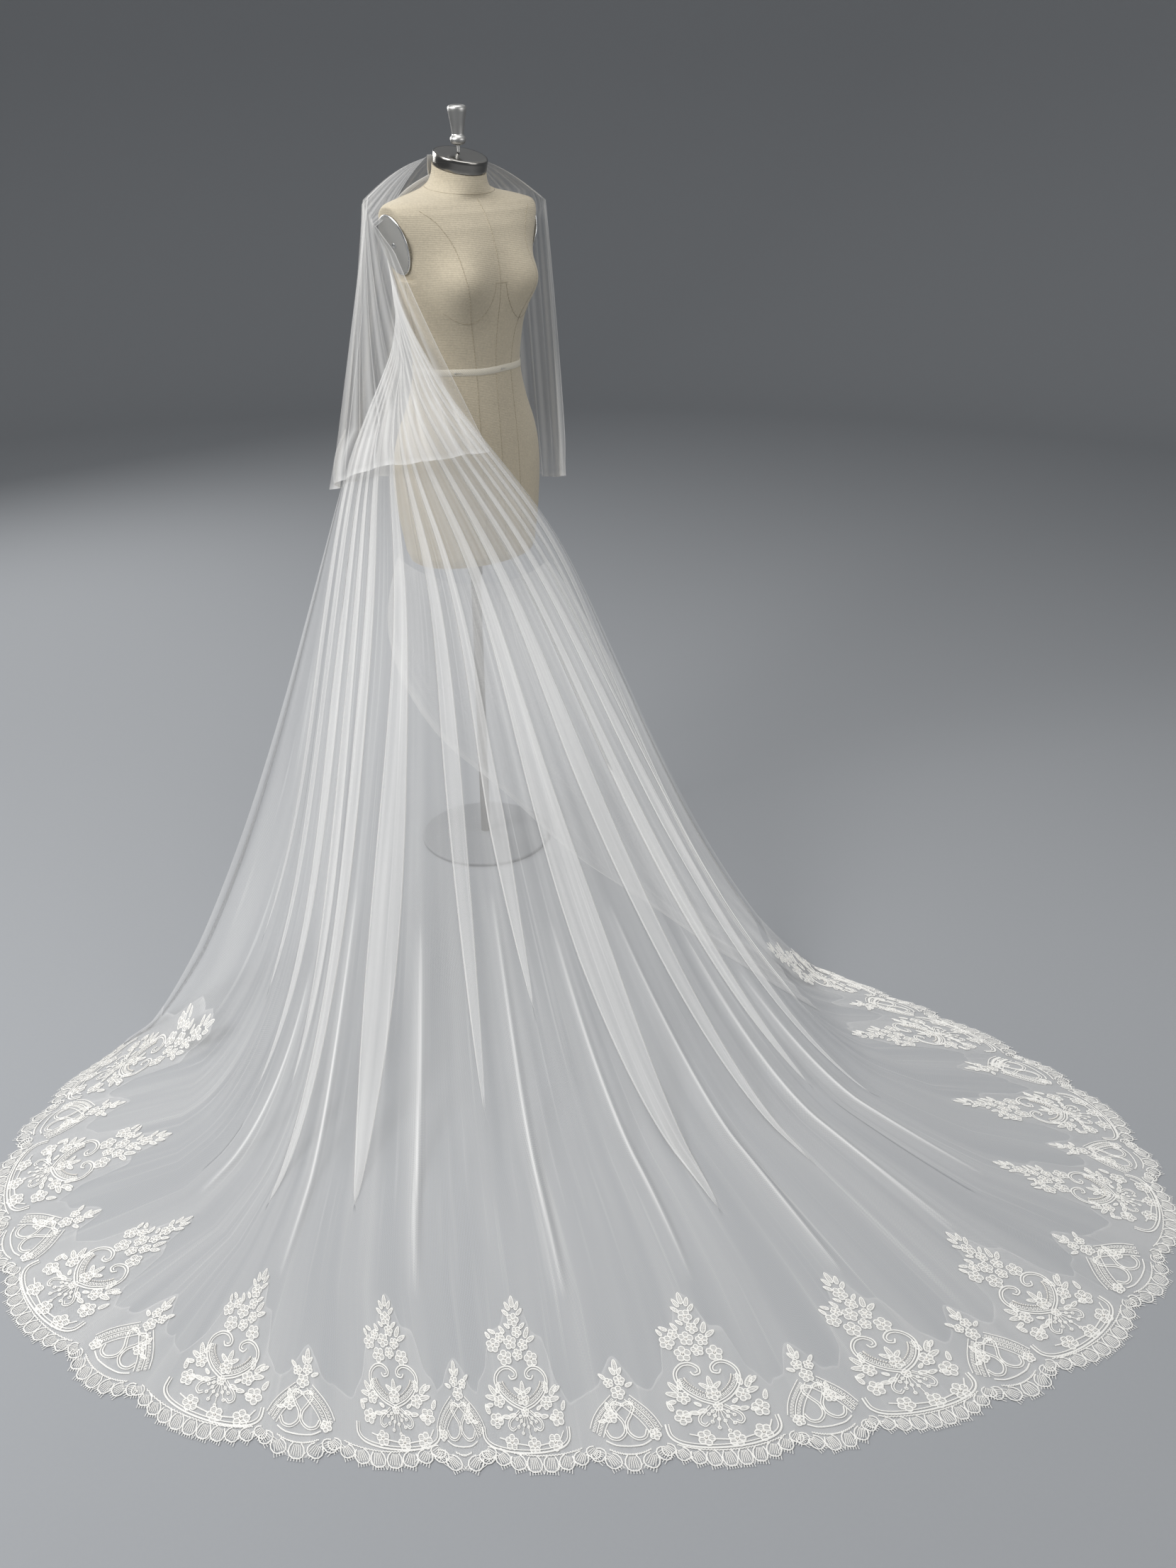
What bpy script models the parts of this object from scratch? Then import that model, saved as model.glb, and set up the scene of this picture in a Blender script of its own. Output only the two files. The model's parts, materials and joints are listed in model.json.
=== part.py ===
"""A two-tier bridal veil draped on a limbless dress form, as solids in metres, +Z up.

The train is spread over the floor towards -Y. The form is turned, so that its front looks towards
+X and -Y. The origin is at the middle of the stand's underside.
"""

import math

import bmesh
import bpy
from mathutils import Matrix, Vector

# The form's turn about the vertical, and the heights of its main levels
FORM_TURN = math.radians(44)
BUST_Z = 1.262
SHOULDER_Z = 1.395
NECK_TOP_Z = 1.459
HIP_CUT_Z = 0.705
NECK_TILT = math.radians(15)

# The torso's level sections: height, half width, half depth to the front and to the back, and how
# far the neck's tilt has come in
TORSO = (
    ("z", "half", "front", "back", "tilt"),
    (0.705, 0.144, 0.098, 0.128, 0.0),
    (0.720, 0.150, 0.103, 0.136, 0.0),
    (0.800, 0.162, 0.106, 0.151, 0.0),
    (0.890, 0.169, 0.103, 0.150, 0.0),
    (0.960, 0.160, 0.100, 0.128, 0.0),
    (1.040, 0.131, 0.094, 0.099, 0.0),
    (1.100, 0.119, 0.090, 0.090, 0.0),
    (1.160, 0.125, 0.095, 0.095, 0.0),
    (1.220, 0.137, 0.104, 0.106, 0.0),
    (1.270, 0.146, 0.107, 0.114, 0.0),
    (1.320, 0.160, 0.100, 0.116, 0.0),
    (1.360, 0.176, 0.086, 0.106, 0.0),
    (1.385, 0.184, 0.070, 0.088, 0.0),
    (1.400, 0.174, 0.058, 0.071, 0.1),
    (1.410, 0.135, 0.052, 0.062, 0.3),
    (1.418, 0.092, 0.051, 0.059, 0.5),
    (1.427, 0.066, 0.052, 0.057, 0.7),
    (1.441, 0.055, 0.052, 0.054, 0.9),
    (1.459, 0.052, 0.051, 0.052, 1.0),
)
TORSO_COLUMNS = 40

# Each side of the bust: its angle from the front, its spread across and in height, and its swell
BUST_ANGLE = math.radians(36)
BUST_SPREAD = math.radians(23)
BUST_HEIGHT = 0.052
BUST_SWELL = 0.030

# The flat armhole that each arm plate covers: its foot and top, and how far out the flat is there
ARMHOLE_FOOT_Z, ARMHOLE_TOP_Z = 1.268, 1.397
ARMHOLE_FOOT_X, ARMHOLE_TOP_X = 0.138, 0.176
PLATE_HEIGHT, PLATE_WIDTH, PLATE_THICK = 0.108, 0.078, 0.004

# Metal parts
CAP_RADIUS, CAP_THICK = 0.0525, 0.024
BASE_RADIUS, BASE_THICK = 0.150, 0.014
POLE_RADIUS = 0.011

# Cloth: wall, gap at seams, and the gap to the form
WALL = 0.0012
SEAM = 0.0004
LONG_GAP = 0.0022
SHORT_GAP = 0.012
LAYER_GAP = 0.009

# The hem on the floor, in polar form round its own middle: degrees from -Y towards +X, and metres
HEM_MIDDLE = Vector((0.095, -0.850))
HEM = (
    ("degrees", "radius"),
    (-94, 0.734),
    (-83, 0.812),
    (-72, 0.874),
    (-60, 0.900),
    (-48, 0.895),
    (-36, 0.875),
    (-24, 0.852),
    (-12, 0.827),
    (0, 0.820),
    (12, 0.838),
    (24, 0.886),
    (36, 0.952),
    (48, 1.046),
    (58, 1.117),
    (68, 1.154),
    (76, 1.134),
    (84, 1.068),
    (92, 0.954),
    (100, 0.844),
    (108, 0.752),
    (113, 0.712),
)

# The long tier's threads run from the head over the hip to the hem. For some of them, counted from
# 0 at the left edge to 1 at the right fold: where they leave the hip in degrees, radius and
# height, the share of their length at which they reach the floor, and how hollow they hang
THREADS = (
    ("u", "degrees", "radius", "z", "touch", "sag"),
    (0.00, -79, 0.262, 0.885, 0.91, 1.30),
    (0.03, -76, 0.261, 0.882, 0.83, 1.44),
    (0.06, -73, 0.258, 0.876, 0.76, 1.52),
    (0.10, -69, 0.253, 0.867, 0.73, 1.58),
    (0.17, -62, 0.242, 0.850, 0.72, 1.62),
    (0.27, -52, 0.228, 0.830, 0.70, 1.62),
    (0.36, -36, 0.210, 0.800, 0.67, 1.62),
    (0.46, -10, 0.198, 0.780, 0.64, 1.62),
    (0.56, 7, 0.192, 0.775, 0.63, 1.60),
    (0.72, 32, 0.188, 0.775, 0.64, 1.55),
    (0.86, 50, 0.186, 0.780, 0.72, 1.50),
    (0.94, 60, 0.188, 0.785, 0.82, 1.46),
    (0.97, 64, 0.189, 0.788, 0.86, 1.42),
    (1.00, 68, 0.190, 0.790, 0.94, 1.34),
)
# How far a thread has turned to the border's own direction where it comes to it
THREAD_BEND = 0.5
# Where all threads come together behind the right armhole, and at the head
GATHER_Z = 1.345
GATHER_DEGREES = (-100.0, -74.0)
HEAD_Z = 1.446
HEAD_HEIGHT = 0.034
HEAD_DEGREES = (-172.0, -104.0)
HEAD_RADIUS = 0.0606
BAND_RADIUS, BAND_THICK = 0.0574, 0.0022

# Pleats of the long tier: middle, half width where they start, and where they run out
PLEATS = (
    ("u", "half", "end"),
    (0.035, 0.012, 0.72),
    (0.090, 0.013, 0.66),
    (0.150, 0.012, 0.74),
    (0.205, 0.012, 0.70),
    (0.268, 0.022, 0.80),
    (0.359, 0.024, 0.71),
    (0.426, 0.013, 0.66),
    (0.471, 0.014, 0.50),
    (0.552, 0.021, 0.79),
    (0.636, 0.020, 0.76),
    (0.710, 0.014, 0.62),
    (0.780, 0.016, 0.74),
    (0.850, 0.014, 0.66),
    (0.905, 0.014, 0.74),
    (0.960, 0.014, 0.70),
)
PLEAT_RISE = 0.0055
# Soft ridges that run on over the floor between the pleats: middle, half width, start, end, rise
RIDGES = (
    ("u", "half", "start", "end", "rise"),
    (0.312, 0.014, 0.42, 0.80, 0.007),
    (0.395, 0.013, 0.46, 0.82, 0.008),
    (0.450, 0.013, 0.42, 0.80, 0.012),
    (0.520, 0.014, 0.46, 0.80, 0.010),
    (0.602, 0.014, 0.44, 0.80, 0.012),
    (0.684, 0.013, 0.48, 0.80, 0.009),
)
TRAIN_SECTORS = 6
SECTOR_COLUMNS = 15
TRAIN_ROWS = (0.0, 0.08, 0.17, 0.27, 0.38, 0.50, 0.62, 0.74, 0.87)
BORDER_ROWS = (1.0, 0.66, 0.33, 0.0)
WRAP_ROWS = 8

# The short tier's threads: angle, radius and height at the hem, and where they turn down over the
# shoulders
SHORT = (
    ("degrees", "radius", "z", "turn", "turn_radius", "turn_z"),
    (16, 0.172, 0.966, -68, 0.172, 1.366),
    (-17, 0.180, 0.952, -72, 0.178, 1.376),
    (-45, 0.200, 0.930, -78, 0.184, 1.388),
    (-69, 0.244, 0.886, -86, 0.186, 1.400),
    (-92, 0.292, 0.836, -95, 0.178, 1.406),
    (-115, 0.286, 0.826, -114, 0.168, 1.402),
    (-140, 0.262, 0.820, -139, 0.162, 1.396),
    (-165, 0.242, 0.818, -162, 0.166, 1.398),
    (-190, 0.226, 0.820, -186, 0.176, 1.404),
    (-213, 0.212, 0.826, -206, 0.184, 1.410),
    (-238, 0.200, 0.838, -224, 0.190, 1.408),
    (-262, 0.196, 0.862, -240, 0.184, 1.396),
)
SHORT_NECK_Z = 1.478
SHORT_NECK_RADIUS = 0.0604
SHORT_NECK_DEGREES = (-84.0, -190.0)
SHORT_FOLDS = 17
SHORT_FOLD_DEPTH = 0.0065
SHORT_TURN = 0.20
SHORT_PARTS = (("short_tier_right_fall", 0.0, 0.42), ("short_tier_back", 0.42, 0.72),
               ("short_tier_left_fall", 0.72, 1.0))
SHORT_COLUMNS = 58
SHORT_ROWS = 11

# The layer folded back under the right fold: its free edge, from under the form to the floor and
# along it to the lace
FAR_EDGE = (
    ("x", "y", "z"),
    (-0.150, -0.125, 0.690),
    (-0.205, -0.105, 0.560),
    (-0.205, -0.085, 0.440),
    (-0.110, -0.082, 0.315),
    (0.050, -0.085, 0.165),
    (0.200, -0.110, 0.022),
    (0.340, -0.260, 0.0),
    (0.490, -0.455, 0.0),
    (0.610, -0.600, 0.0),
    (0.700, -0.700, 0.0),
)
FAR_COLUMNS = 9

# Lace border: where the middle of each big motif stands along the hem, and the sizes of a repeat
MOTIFS = (
    0.110, 0.383, 0.685, 1.061, 1.344, 1.514, 1.783, 2.076, 2.361, 2.700, 2.923, 3.220, 3.475,
)
# Which way the border's own axes point outwards along the hem, and how far in it reaches
AXES = (
    ("s", "degrees", "width"),
    (0.000, -32, 0.22),
    (0.055, -50, 0.24),
    (0.110, -62, 0.26),
    (0.200, -66, 0.28),
    (0.383, -65, 0.30),
    (0.685, -47, 0.30),
    (1.061, -7, 0.30),
    (1.344, 12, 0.30),
    (1.514, 8, 0.30),
    (1.783, 12, 0.30),
    (2.076, 25, 0.30),
    (2.361, 38, 0.30),
    (2.700, 66, 0.30),
    (2.923, 80, 0.29),
    (3.080, 87, 0.27),
    (3.220, 90, 0.25),
    (3.330, 87, 0.22),
    (3.475, 74, 0.18),
    (3.560, 56, 0.18),
)
SCALLOP_DEPTH = 0.034
TALL, LOW, MIDDLE_TALL = 0.290, 0.088, 0.172
LACE_LIFT, TWIST_LIFT = 0.0004, 1.0
LACE_THICK, LACE_RELIEF = 0.0010, 0.0009
LACE_ROWS = 4


def rows_of(table):
    """The rows of a table as dictionaries, keyed by the names in its first row."""
    return [dict(zip(table[0], row)) for row in table[1:]]


def smooth(t):
    """0 to 1 with a soft start and end."""
    t = min(max(t, 0.0), 1.0)
    return t * t * (3 - 2 * t)


def along(table, key, at, name):
    """A column of a table at a place between its rows, on a smooth curve through them."""
    rows = rows_of(table)
    keys = [row[key] for row in rows]
    down = keys[0] > keys[-1]
    if down:
        rows, keys = rows[::-1], keys[::-1]
    at = min(max(at, keys[0]), keys[-1])
    i = max(k for k in range(len(keys) - 1) if keys[k] <= at or k == 0)
    t = (at - keys[i]) / (keys[i + 1] - keys[i])
    before, start, end, after = (rows[min(max(k, 0), len(rows) - 1)][name] for k in range(i - 1, i + 3))
    rise, fall = (end - before) / 2, (after - start) / 2
    return (
        start * (2 * t**3 - 3 * t**2 + 1)
        + rise * (t**3 - 2 * t**2 + t)
        + end * (3 * t**2 - 2 * t**3)
        + fall * (t**3 - t**2)
    )


def lerp(a, b, t):
    return a + (b - a) * t


def direction(degrees):
    """A level unit vector, turned from -Y towards +X."""
    angle = math.radians(degrees)
    return Vector((math.sin(angle), -math.cos(angle)))


def material(name, colour, roughness, metallic=0.0):
    """A plain Principled material."""
    made = bpy.data.materials.new(name)
    made.use_nodes = True
    shader = made.node_tree.nodes["Principled BSDF"]
    shader.inputs["Base Color"].default_value = (*colour, 1.0)
    shader.inputs["Roughness"].default_value = roughness
    shader.inputs["Metallic"].default_value = metallic
    return made


def new_object(name, points, faces, finish, collection):
    """A mesh object from points and faces, shaded smooth but for its sharp edges."""
    mesh = bpy.data.meshes.new(name)
    mesh.from_pydata([tuple(p) for p in points], [], faces)
    mesh.materials.append(finish)
    mesh.shade_smooth()
    mesh.set_sharp_from_angle(angle=math.radians(40))
    made = bpy.data.objects.new(name, mesh)
    collection.objects.link(made)
    return made


def grid_faces(columns, rows, ring=False):
    """Quads of a grid of points, stored row by row. A ring closes its columns."""
    faces = []
    for i in range(rows - 1):
        for j in range(columns if ring else columns - 1):
            k = (j + 1) % columns
            a, b = i * columns + j, i * columns + k
            faces.append((a, b, b + columns, a + columns))
    return faces


def torso_radius(z, angle):
    """The torso's radius at a height, at an angle from its front towards its left."""
    z = min(max(z, TORSO[1][0]), TORSO[-1][0])
    half = along(TORSO, "z", z, "half")
    deep = along(TORSO, "z", z, "front" if math.cos(angle) > 0 else "back")
    radius = 1 / math.hypot(math.sin(angle) / half, math.cos(angle) / deep)
    for side in (-1, 1):
        across = (angle - side * BUST_ANGLE) / BUST_SPREAD
        height = (z - BUST_Z) / BUST_HEIGHT
        radius += BUST_SWELL * math.exp(-(across**2) - height**2)
    return radius


def form_radius(z, degrees):
    """The torso's radius at a height, in a world direction from -Y towards +X."""
    angle = math.radians(degrees) - FORM_TURN
    angle = math.atan2(math.sin(angle), math.cos(angle))
    return torso_radius(z, angle)


def torso_point(z, angle, tilt):
    """A point of the torso's surface, in the form's own frame, with the armholes cut flat."""
    radius = torso_radius(z, angle)
    x, y = radius * math.sin(angle), -radius * math.cos(angle)
    if ARMHOLE_FOOT_Z < z < ARMHOLE_TOP_Z:
        share = (z - ARMHOLE_FOOT_Z) / (ARMHOLE_TOP_Z - ARMHOLE_FOOT_Z)
        flat = lerp(ARMHOLE_FOOT_X, ARMHOLE_TOP_X, share)
        x = min(max(x, -flat), flat)
    return Vector((x, y, z + y * math.tan(NECK_TILT) * tilt))


def make_torso(finish, collection):
    """The padded torso from the cut at the thighs to the neck: a loft through its sections."""
    heights = [row["z"] for row in rows_of(TORSO)]
    levels = []
    for low, high in zip(heights, heights[1:]):
        parts = 2 if high - low > 0.05 else 1
        levels += [low + (high - low) * k / parts for k in range(parts)]
    levels.append(heights[-1])
    points = []
    for z in levels:
        tilt = along(TORSO, "z", z, "tilt")
        for j in range(TORSO_COLUMNS):
            angle = 2 * math.pi * j / TORSO_COLUMNS - math.pi
            points.append(torso_point(z, angle, tilt))
    faces = grid_faces(TORSO_COLUMNS, len(levels), ring=True)
    last = (len(levels) - 1) * TORSO_COLUMNS
    faces.append(tuple(reversed(range(TORSO_COLUMNS))))
    faces.append(tuple(range(last, last + TORSO_COLUMNS)))
    torso = new_object("form_torso", points, faces, finish, collection)
    torso.rotation_euler = (0, 0, FORM_TURN)
    return torso


def turned(name, profile, finish, collection, steps=32):
    """A turned piece. The profile runs down its outer side, from the axis back to the axis."""
    mesh = bpy.data.meshes.new(name)
    points = [(radius, 0.0, z) for radius, z in profile]
    mesh.from_pydata(points, [(k, k + 1) for k in range(len(points) - 1)], [])
    mesh.materials.append(finish)
    made = bpy.data.objects.new(name, mesh)
    collection.objects.link(made)
    screw = made.modifiers.new("Turn", "SCREW")
    screw.steps = steps
    screw.render_steps = steps
    screw.use_merge_vertices = True
    screw.merge_threshold = 0.00005
    screw.use_smooth_shade = True
    return made


def make_metalwork(steel, collection):
    """The neck cap, the finial, the pole and the base plate."""
    bevel = 0.002
    r, h = CAP_RADIUS, CAP_THICK
    cap = turned(
        "neck_cap",
        ((0, h), (r - bevel, h), (r, h - bevel), (r, bevel), (r - bevel, 0), (0, 0)),
        steel,
        collection,
        40,
    )
    tilt = Matrix.Rotation(FORM_TURN, 4, "Z") @ Matrix.Rotation(NECK_TILT, 4, "X")
    seat = Vector((0, 0, NECK_TOP_Z)) + tilt.to_3x3() @ Vector((0, 0, SEAM))
    cap.matrix_world = Matrix.Translation(seat) @ tilt
    stem_foot = NECK_TOP_Z + (CAP_THICK + SEAM) / math.cos(NECK_TILT) + 0.0016
    turned(
        "finial",
        (
            (0, 1.5665), (0.012, 1.5655), (0.0172, 1.5625), (0.0180, 1.5590), (0.0112, 1.5160),
            (0.0118, 1.5140), (0.0146, 1.5095), (0.0150, 1.5055), (0.0128, 1.5005),
            (0.0075, 1.4975), (0.0030, 1.4965), (0.0030, stem_foot), (0, stem_foot),
        ),
        steel,
        collection,
        24,
    )
    top = HIP_CUT_Z - SEAM
    r, edge = BASE_RADIUS, 0.003
    turned(
        "stand_pole",
        (
            (0, top), (0.034, top), (0.034, top - 0.005), (0.016, top - 0.009),
            (0.016, top - 0.050), (POLE_RADIUS, top - 0.052), (POLE_RADIUS, BASE_THICK + SEAM),
            (0, BASE_THICK + SEAM),
        ),
        steel,
        collection,
        20,
    )
    turned(
        "stand_base",
        ((0, BASE_THICK), (0.03, BASE_THICK), (r - edge, 0.008), (r, 0.005), (r, 0), (0, 0)),
        steel,
        collection,
        40,
    )


def make_plates(clear, collection):
    """The oval plate that closes each armhole, held flat against the torso's side."""
    rise = ARMHOLE_TOP_Z - ARMHOLE_FOOT_Z
    lean = math.atan2(ARMHOLE_TOP_X - ARMHOLE_FOOT_X, rise)
    for name, side in (("arm_plate_right", -1), ("arm_plate_left", 1)):
        work = bmesh.new()
        bmesh.ops.create_cone(
            work, cap_ends=True, segments=32, radius1=0.5, radius2=0.5, depth=PLATE_THICK
        )
        bmesh.ops.scale(work, vec=(PLATE_HEIGHT, PLATE_WIDTH, 1), verts=work.verts)
        mesh = bpy.data.meshes.new(name)
        work.to_mesh(mesh)
        work.free()
        mesh.materials.append(clear)
        plate = bpy.data.objects.new(name, mesh)
        collection.objects.link(plate)
        middle_x = (ARMHOLE_FOOT_X + ARMHOLE_TOP_X) / 2
        middle_z = (ARMHOLE_FOOT_Z + ARMHOLE_TOP_Z) / 2
        out = PLATE_THICK / 2 + 2 * SEAM
        place = Vector((side * (middle_x + out * math.cos(lean)), 0.004, middle_z - out * math.sin(lean)))
        turn = Matrix.Rotation(FORM_TURN, 4, "Z")
        # The plate's thickness points out of the armhole, and its long side up the lean
        tip = Matrix.Rotation(side * (math.pi / 2 + lean), 4, "Y")
        plate.matrix_world = turn @ Matrix.Translation(place) @ tip


def cloth(name, point, columns, rows, finish, collection, wall=WALL, outside=1):
    """A cloth panel: a grid of points worked out by a function, thickened to a wall."""
    points = [point(column, row) for row in rows for column in columns]
    faces = grid_faces(len(columns), len(rows))
    if outside > 0:
        faces = [tuple(reversed(face)) for face in faces]
    panel = new_object(name, points, faces, finish, collection)
    solid = panel.modifiers.new("Wall", "SOLIDIFY")
    solid.thickness = wall
    solid.offset = 1
    solid.use_even_offset = True
    return panel


class Hem:
    """The hem's line on the floor, measured along its length."""

    def __init__(self):
        first, last = HEM[1][0], HEM[-1][0]
        steps = 420
        self.points = []
        for k in range(steps + 1):
            degrees = lerp(first, last, k / steps)
            radius = along(HEM, "degrees", degrees, "radius")
            self.points.append(HEM_MIDDLE + direction(degrees) * radius)
        self.lengths = [0.0]
        for a, b in zip(self.points, self.points[1:]):
            self.lengths.append(self.lengths[-1] + (b - a).length)
        self.length = self.lengths[-1]

    def at(self, s):
        """The point at a length along the hem."""
        s = min(max(s, 0.0), self.length)
        k = 0
        while k < len(self.lengths) - 2 and self.lengths[k + 1] < s:
            k += 1
        t = (s - self.lengths[k]) / (self.lengths[k + 1] - self.lengths[k])
        return self.points[k].lerp(self.points[k + 1], t)

    def outward(self, s):
        """The level unit vector square to the hem, away from the train."""
        along_hem = self.at(s + 0.03) - self.at(s - 0.03)
        return Vector((along_hem.y, -along_hem.x)).normalized()


def motif_middles():
    """Where the big motifs stand along the hem."""
    return list(MOTIFS)


def border_width(s):
    """How far the border reaches in from the hem's line."""
    return along(AXES, "s", s, "width")


def scallop(s):
    """How far the scalloped edge stands inside the hem's line."""
    middles = motif_middles()
    edges = [middles[0] - 0.085]
    for left, right in zip(middles, middles[1:]):
        third = (right - left) * 0.33
        edges += [left + third, right - third]
    edges.append(middles[-1] + 0.085)
    for start, end in zip(edges, edges[1:]):
        if start <= s <= end:
            t = (s - start) / (end - start)
            return SCALLOP_DEPTH * (1 - max(math.sin(math.pi * t), 0.0) ** 0.6)
    return SCALLOP_DEPTH * 0.7


def border_point(s, depth, hem):
    """A place on the floor plan of the lace border, at a depth in from the hem's line."""
    outward = direction(along(AXES, "s", s, "degrees"))
    return hem.at(s) - outward * depth


def pleat_rise(u, share, spacing):
    """How far pleats and ridges lift the long tier off its plain form.

    The spacing is the cloth's width per thread there, which keeps narrow pleats low.
    """
    rise = 0.0
    for pleat in rows_of(PLEATS):
        left = 1 - share / pleat["end"]
        if left > 0:
            half = pleat["half"] * (0.25 + 0.75 * left)
            height = min(PLEAT_RISE, half * spacing)
            rise += height * smooth(1.6 - abs(u - pleat["u"]) / half) * smooth(5 * left)
    for ridge in rows_of(RIDGES):
        if ridge["start"] < share < ridge["end"]:
            run = (share - ridge["start"]) / (ridge["end"] - ridge["start"])
            swell = math.sin(math.pi * run) ** 0.7
            rise += ridge["rise"] * swell * smooth(1.5 - abs(u - ridge["u"]) / ridge["half"])
    return rise


def hip_point(u):
    """Where a thread of the long tier leaves the hip."""
    level = direction(along(THREADS, "u", u, "degrees")) * along(THREADS, "u", u, "radius")
    return Vector((level.x, level.y, along(THREADS, "u", u, "z")))


def train_plain(u, share, hem, depth=None):
    """A point of the train, without its pleats.

    From share 0 at the hip to share 1 at the border, or at a depth in from the hem's line.
    """
    start = hip_point(u)
    s = u * hem.length
    width = border_width(s)
    inner = border_point(s, width, hem)
    straight = inner - start.to_2d()
    run = straight.length
    if depth is None:
        outward = direction(along(AXES, "s", s, "degrees")) * run
        bend = (straight.lerp(outward, THREAD_BEND).normalized() * run) - straight
        level = start.to_2d() + straight * share + bend * (share**3 - share**2)
        gone = share * run / (run + width)
    else:
        level = border_point(s, depth, hem)
        gone = (run + width - depth) / (run + width)
    left = max(1 - gone / along(THREADS, "u", u, "touch"), 0.0)
    z = start.z * left ** along(THREADS, "u", u, "sag")
    return Vector((level.x, level.y, z))


def train_point(u, share, hem):
    """A point of the train between the hip and the border, with its pleats."""
    plain = train_plain(u, share, hem)
    step = 0.01
    across = train_plain(min(u + step, 1), share, hem) - train_plain(max(u - step, 0), share, hem)
    down = train_plain(u, share + step, hem) - train_plain(u, share - step, hem)
    normal = down.cross(across).normalized()
    if normal.z < 0:
        normal.negate()
    return plain + normal * pleat_rise(u, share, across.length / (2 * step))


def wrap_plain(u, share):
    """Degrees, radius and height of a thread of the wrap, between the gather and the hip."""
    end = hip_point(u)
    z = lerp(GATHER_Z, end.z, share)
    end_degrees = along(THREADS, "u", u, "degrees")
    degrees = lerp(lerp(*GATHER_DEGREES, u), end_degrees, share**1.35)
    spare = math.hypot(end.x, end.y) - form_radius(end.z, end_degrees) - LONG_GAP
    radius = form_radius(z, degrees) + LONG_GAP + spare * smooth(share)
    return degrees, radius, z


def wrap_point(u, share, hem):
    """A point of the long tier between its gather at the armhole and the hip."""
    degrees, radius, z = wrap_plain(u, share)
    level = direction(degrees) * radius
    below = train_point(u, 0.0, hem)
    end = hip_point(u)
    return Vector((level.x, level.y, z)) + (below - end) * share


def wrap_reach(z, degrees):
    """How far out the wrap stands at a height, in a world direction."""
    steps = 24
    seen = []
    for k in range(steps + 1):
        u = k / steps
        share = (GATHER_Z - z) / (GATHER_Z - hip_point(u).z)
        if 0 <= share <= 1.25:
            turn, radius, _ = wrap_plain(u, min(share, 1.0))
            seen.append((turn, radius))
    if not seen or degrees < seen[0][0] - 12 or degrees > seen[-1][0] + 12:
        return 0.0
    for (low, near), (high, far) in zip(seen, seen[1:]):
        if low <= degrees <= high:
            return lerp(near, far, (degrees - low) / max(high - low, 0.001))
    return seen[0][1] if degrees < seen[0][0] else seen[-1][1]


def head_point(u, share):
    """A point of the long tier between the head band and its gather at the armhole."""
    degrees, radius, z = wrap_plain(u, 0.0)
    level = direction(degrees) * radius
    end = Vector((level.x, level.y, z))
    level = direction(lerp(*HEAD_DEGREES, u)) * HEAD_RADIUS
    start = Vector((level.x, level.y, HEAD_Z))
    bow = 0.020 * math.sin(math.pi * share)
    middle = Vector((end.x, end.y, 0)).normalized()
    place = start.lerp(end, share) + middle * bow * 0.9 + Vector((0, 0, bow * 0.5))
    turn = math.degrees(math.atan2(place.x, -place.y))
    clear = form_radius(place.z, turn) + 1.4 * LONG_GAP
    level = place.to_2d()
    level *= max(1.0, clear / level.length)
    return Vector((level.x, level.y, place.z))


def short_point(w, share):
    """A point of the short tier, from the head band at share 0 to its cut edge at share 1."""
    place = w * (len(SHORT) - 2)
    table = [("w",) + SHORT[0]] + [(k,) + row for k, row in enumerate(SHORT[1:])]
    end = {name: along(table, "w", place, name) for name in SHORT[0]}
    fold = math.sin(2 * math.pi * SHORT_FOLDS * w + 0.9 * math.sin(7 * w))
    if share < SHORT_TURN:
        t = share / SHORT_TURN
        neck = direction(lerp(*SHORT_NECK_DEGREES, w)) * SHORT_NECK_RADIUS
        level = neck.lerp(direction(end["turn"]) * end["turn_radius"], t)
        z = lerp(SHORT_NECK_Z, end["turn_z"], t) + 0.012 * math.sin(math.pi * t)
        level += level.normalized() * fold * SHORT_FOLD_DEPTH * 0.35 * t
        return Vector((level.x, level.y, z))
    t = (share - SHORT_TURN) / (1 - SHORT_TURN)
    degrees = lerp(end["turn"], end["degrees"], t ** (1.2 if w < 0.4 else 1.0))
    z = lerp(end["turn_z"], end["z"], t)
    depth = SHORT_FOLD_DEPTH * (0.35 + 0.65 * t)
    clear = form_radius(z, degrees) + SHORT_GAP
    reach = wrap_reach(z, degrees)
    if reach:
        clear = max(clear, reach + PLEAT_RISE + LAYER_GAP)
    radius = max(lerp(end["turn_radius"], end["radius"], t), clear + depth)
    level = direction(degrees) * (radius + fold * depth)
    return Vector((level.x, level.y, z))


def far_point(k, share, hem):
    """A point of the layer folded back under the train, from the fold at k 0 to its free edge."""
    table = [("share",) + FAR_EDGE[0]] + [
        (i / (len(FAR_EDGE) - 2),) + row for i, row in enumerate(FAR_EDGE[1:])
    ]
    edge = Vector([along(table, "share", share, axis) for axis in "xyz"])
    fold = train_plain(1.0, lerp(0.13, 0.98, share), hem)
    inside = lerp(0.0012, 0.018, smooth(3 * share - 1.35))
    fold = fold - Vector((inside, inside / 4, inside / 4))
    point = fold.lerp(edge, k)
    sink = 1 - (1 - k) ** (1 + 1.6 * smooth(4 * share - 2))
    point.z = lerp(fold.z, edge.z, sink)
    # High up, the layer runs round in front of the pole, just inside the train
    around = hip_point(lerp(1.0, 0.30, k))
    around = Vector((around.x * 0.90, around.y * 0.90, around.z - 0.085))
    point = around.lerp(point, smooth(share * 2.6))
    point.z = max(point.z, 0.0)
    return point


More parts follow.
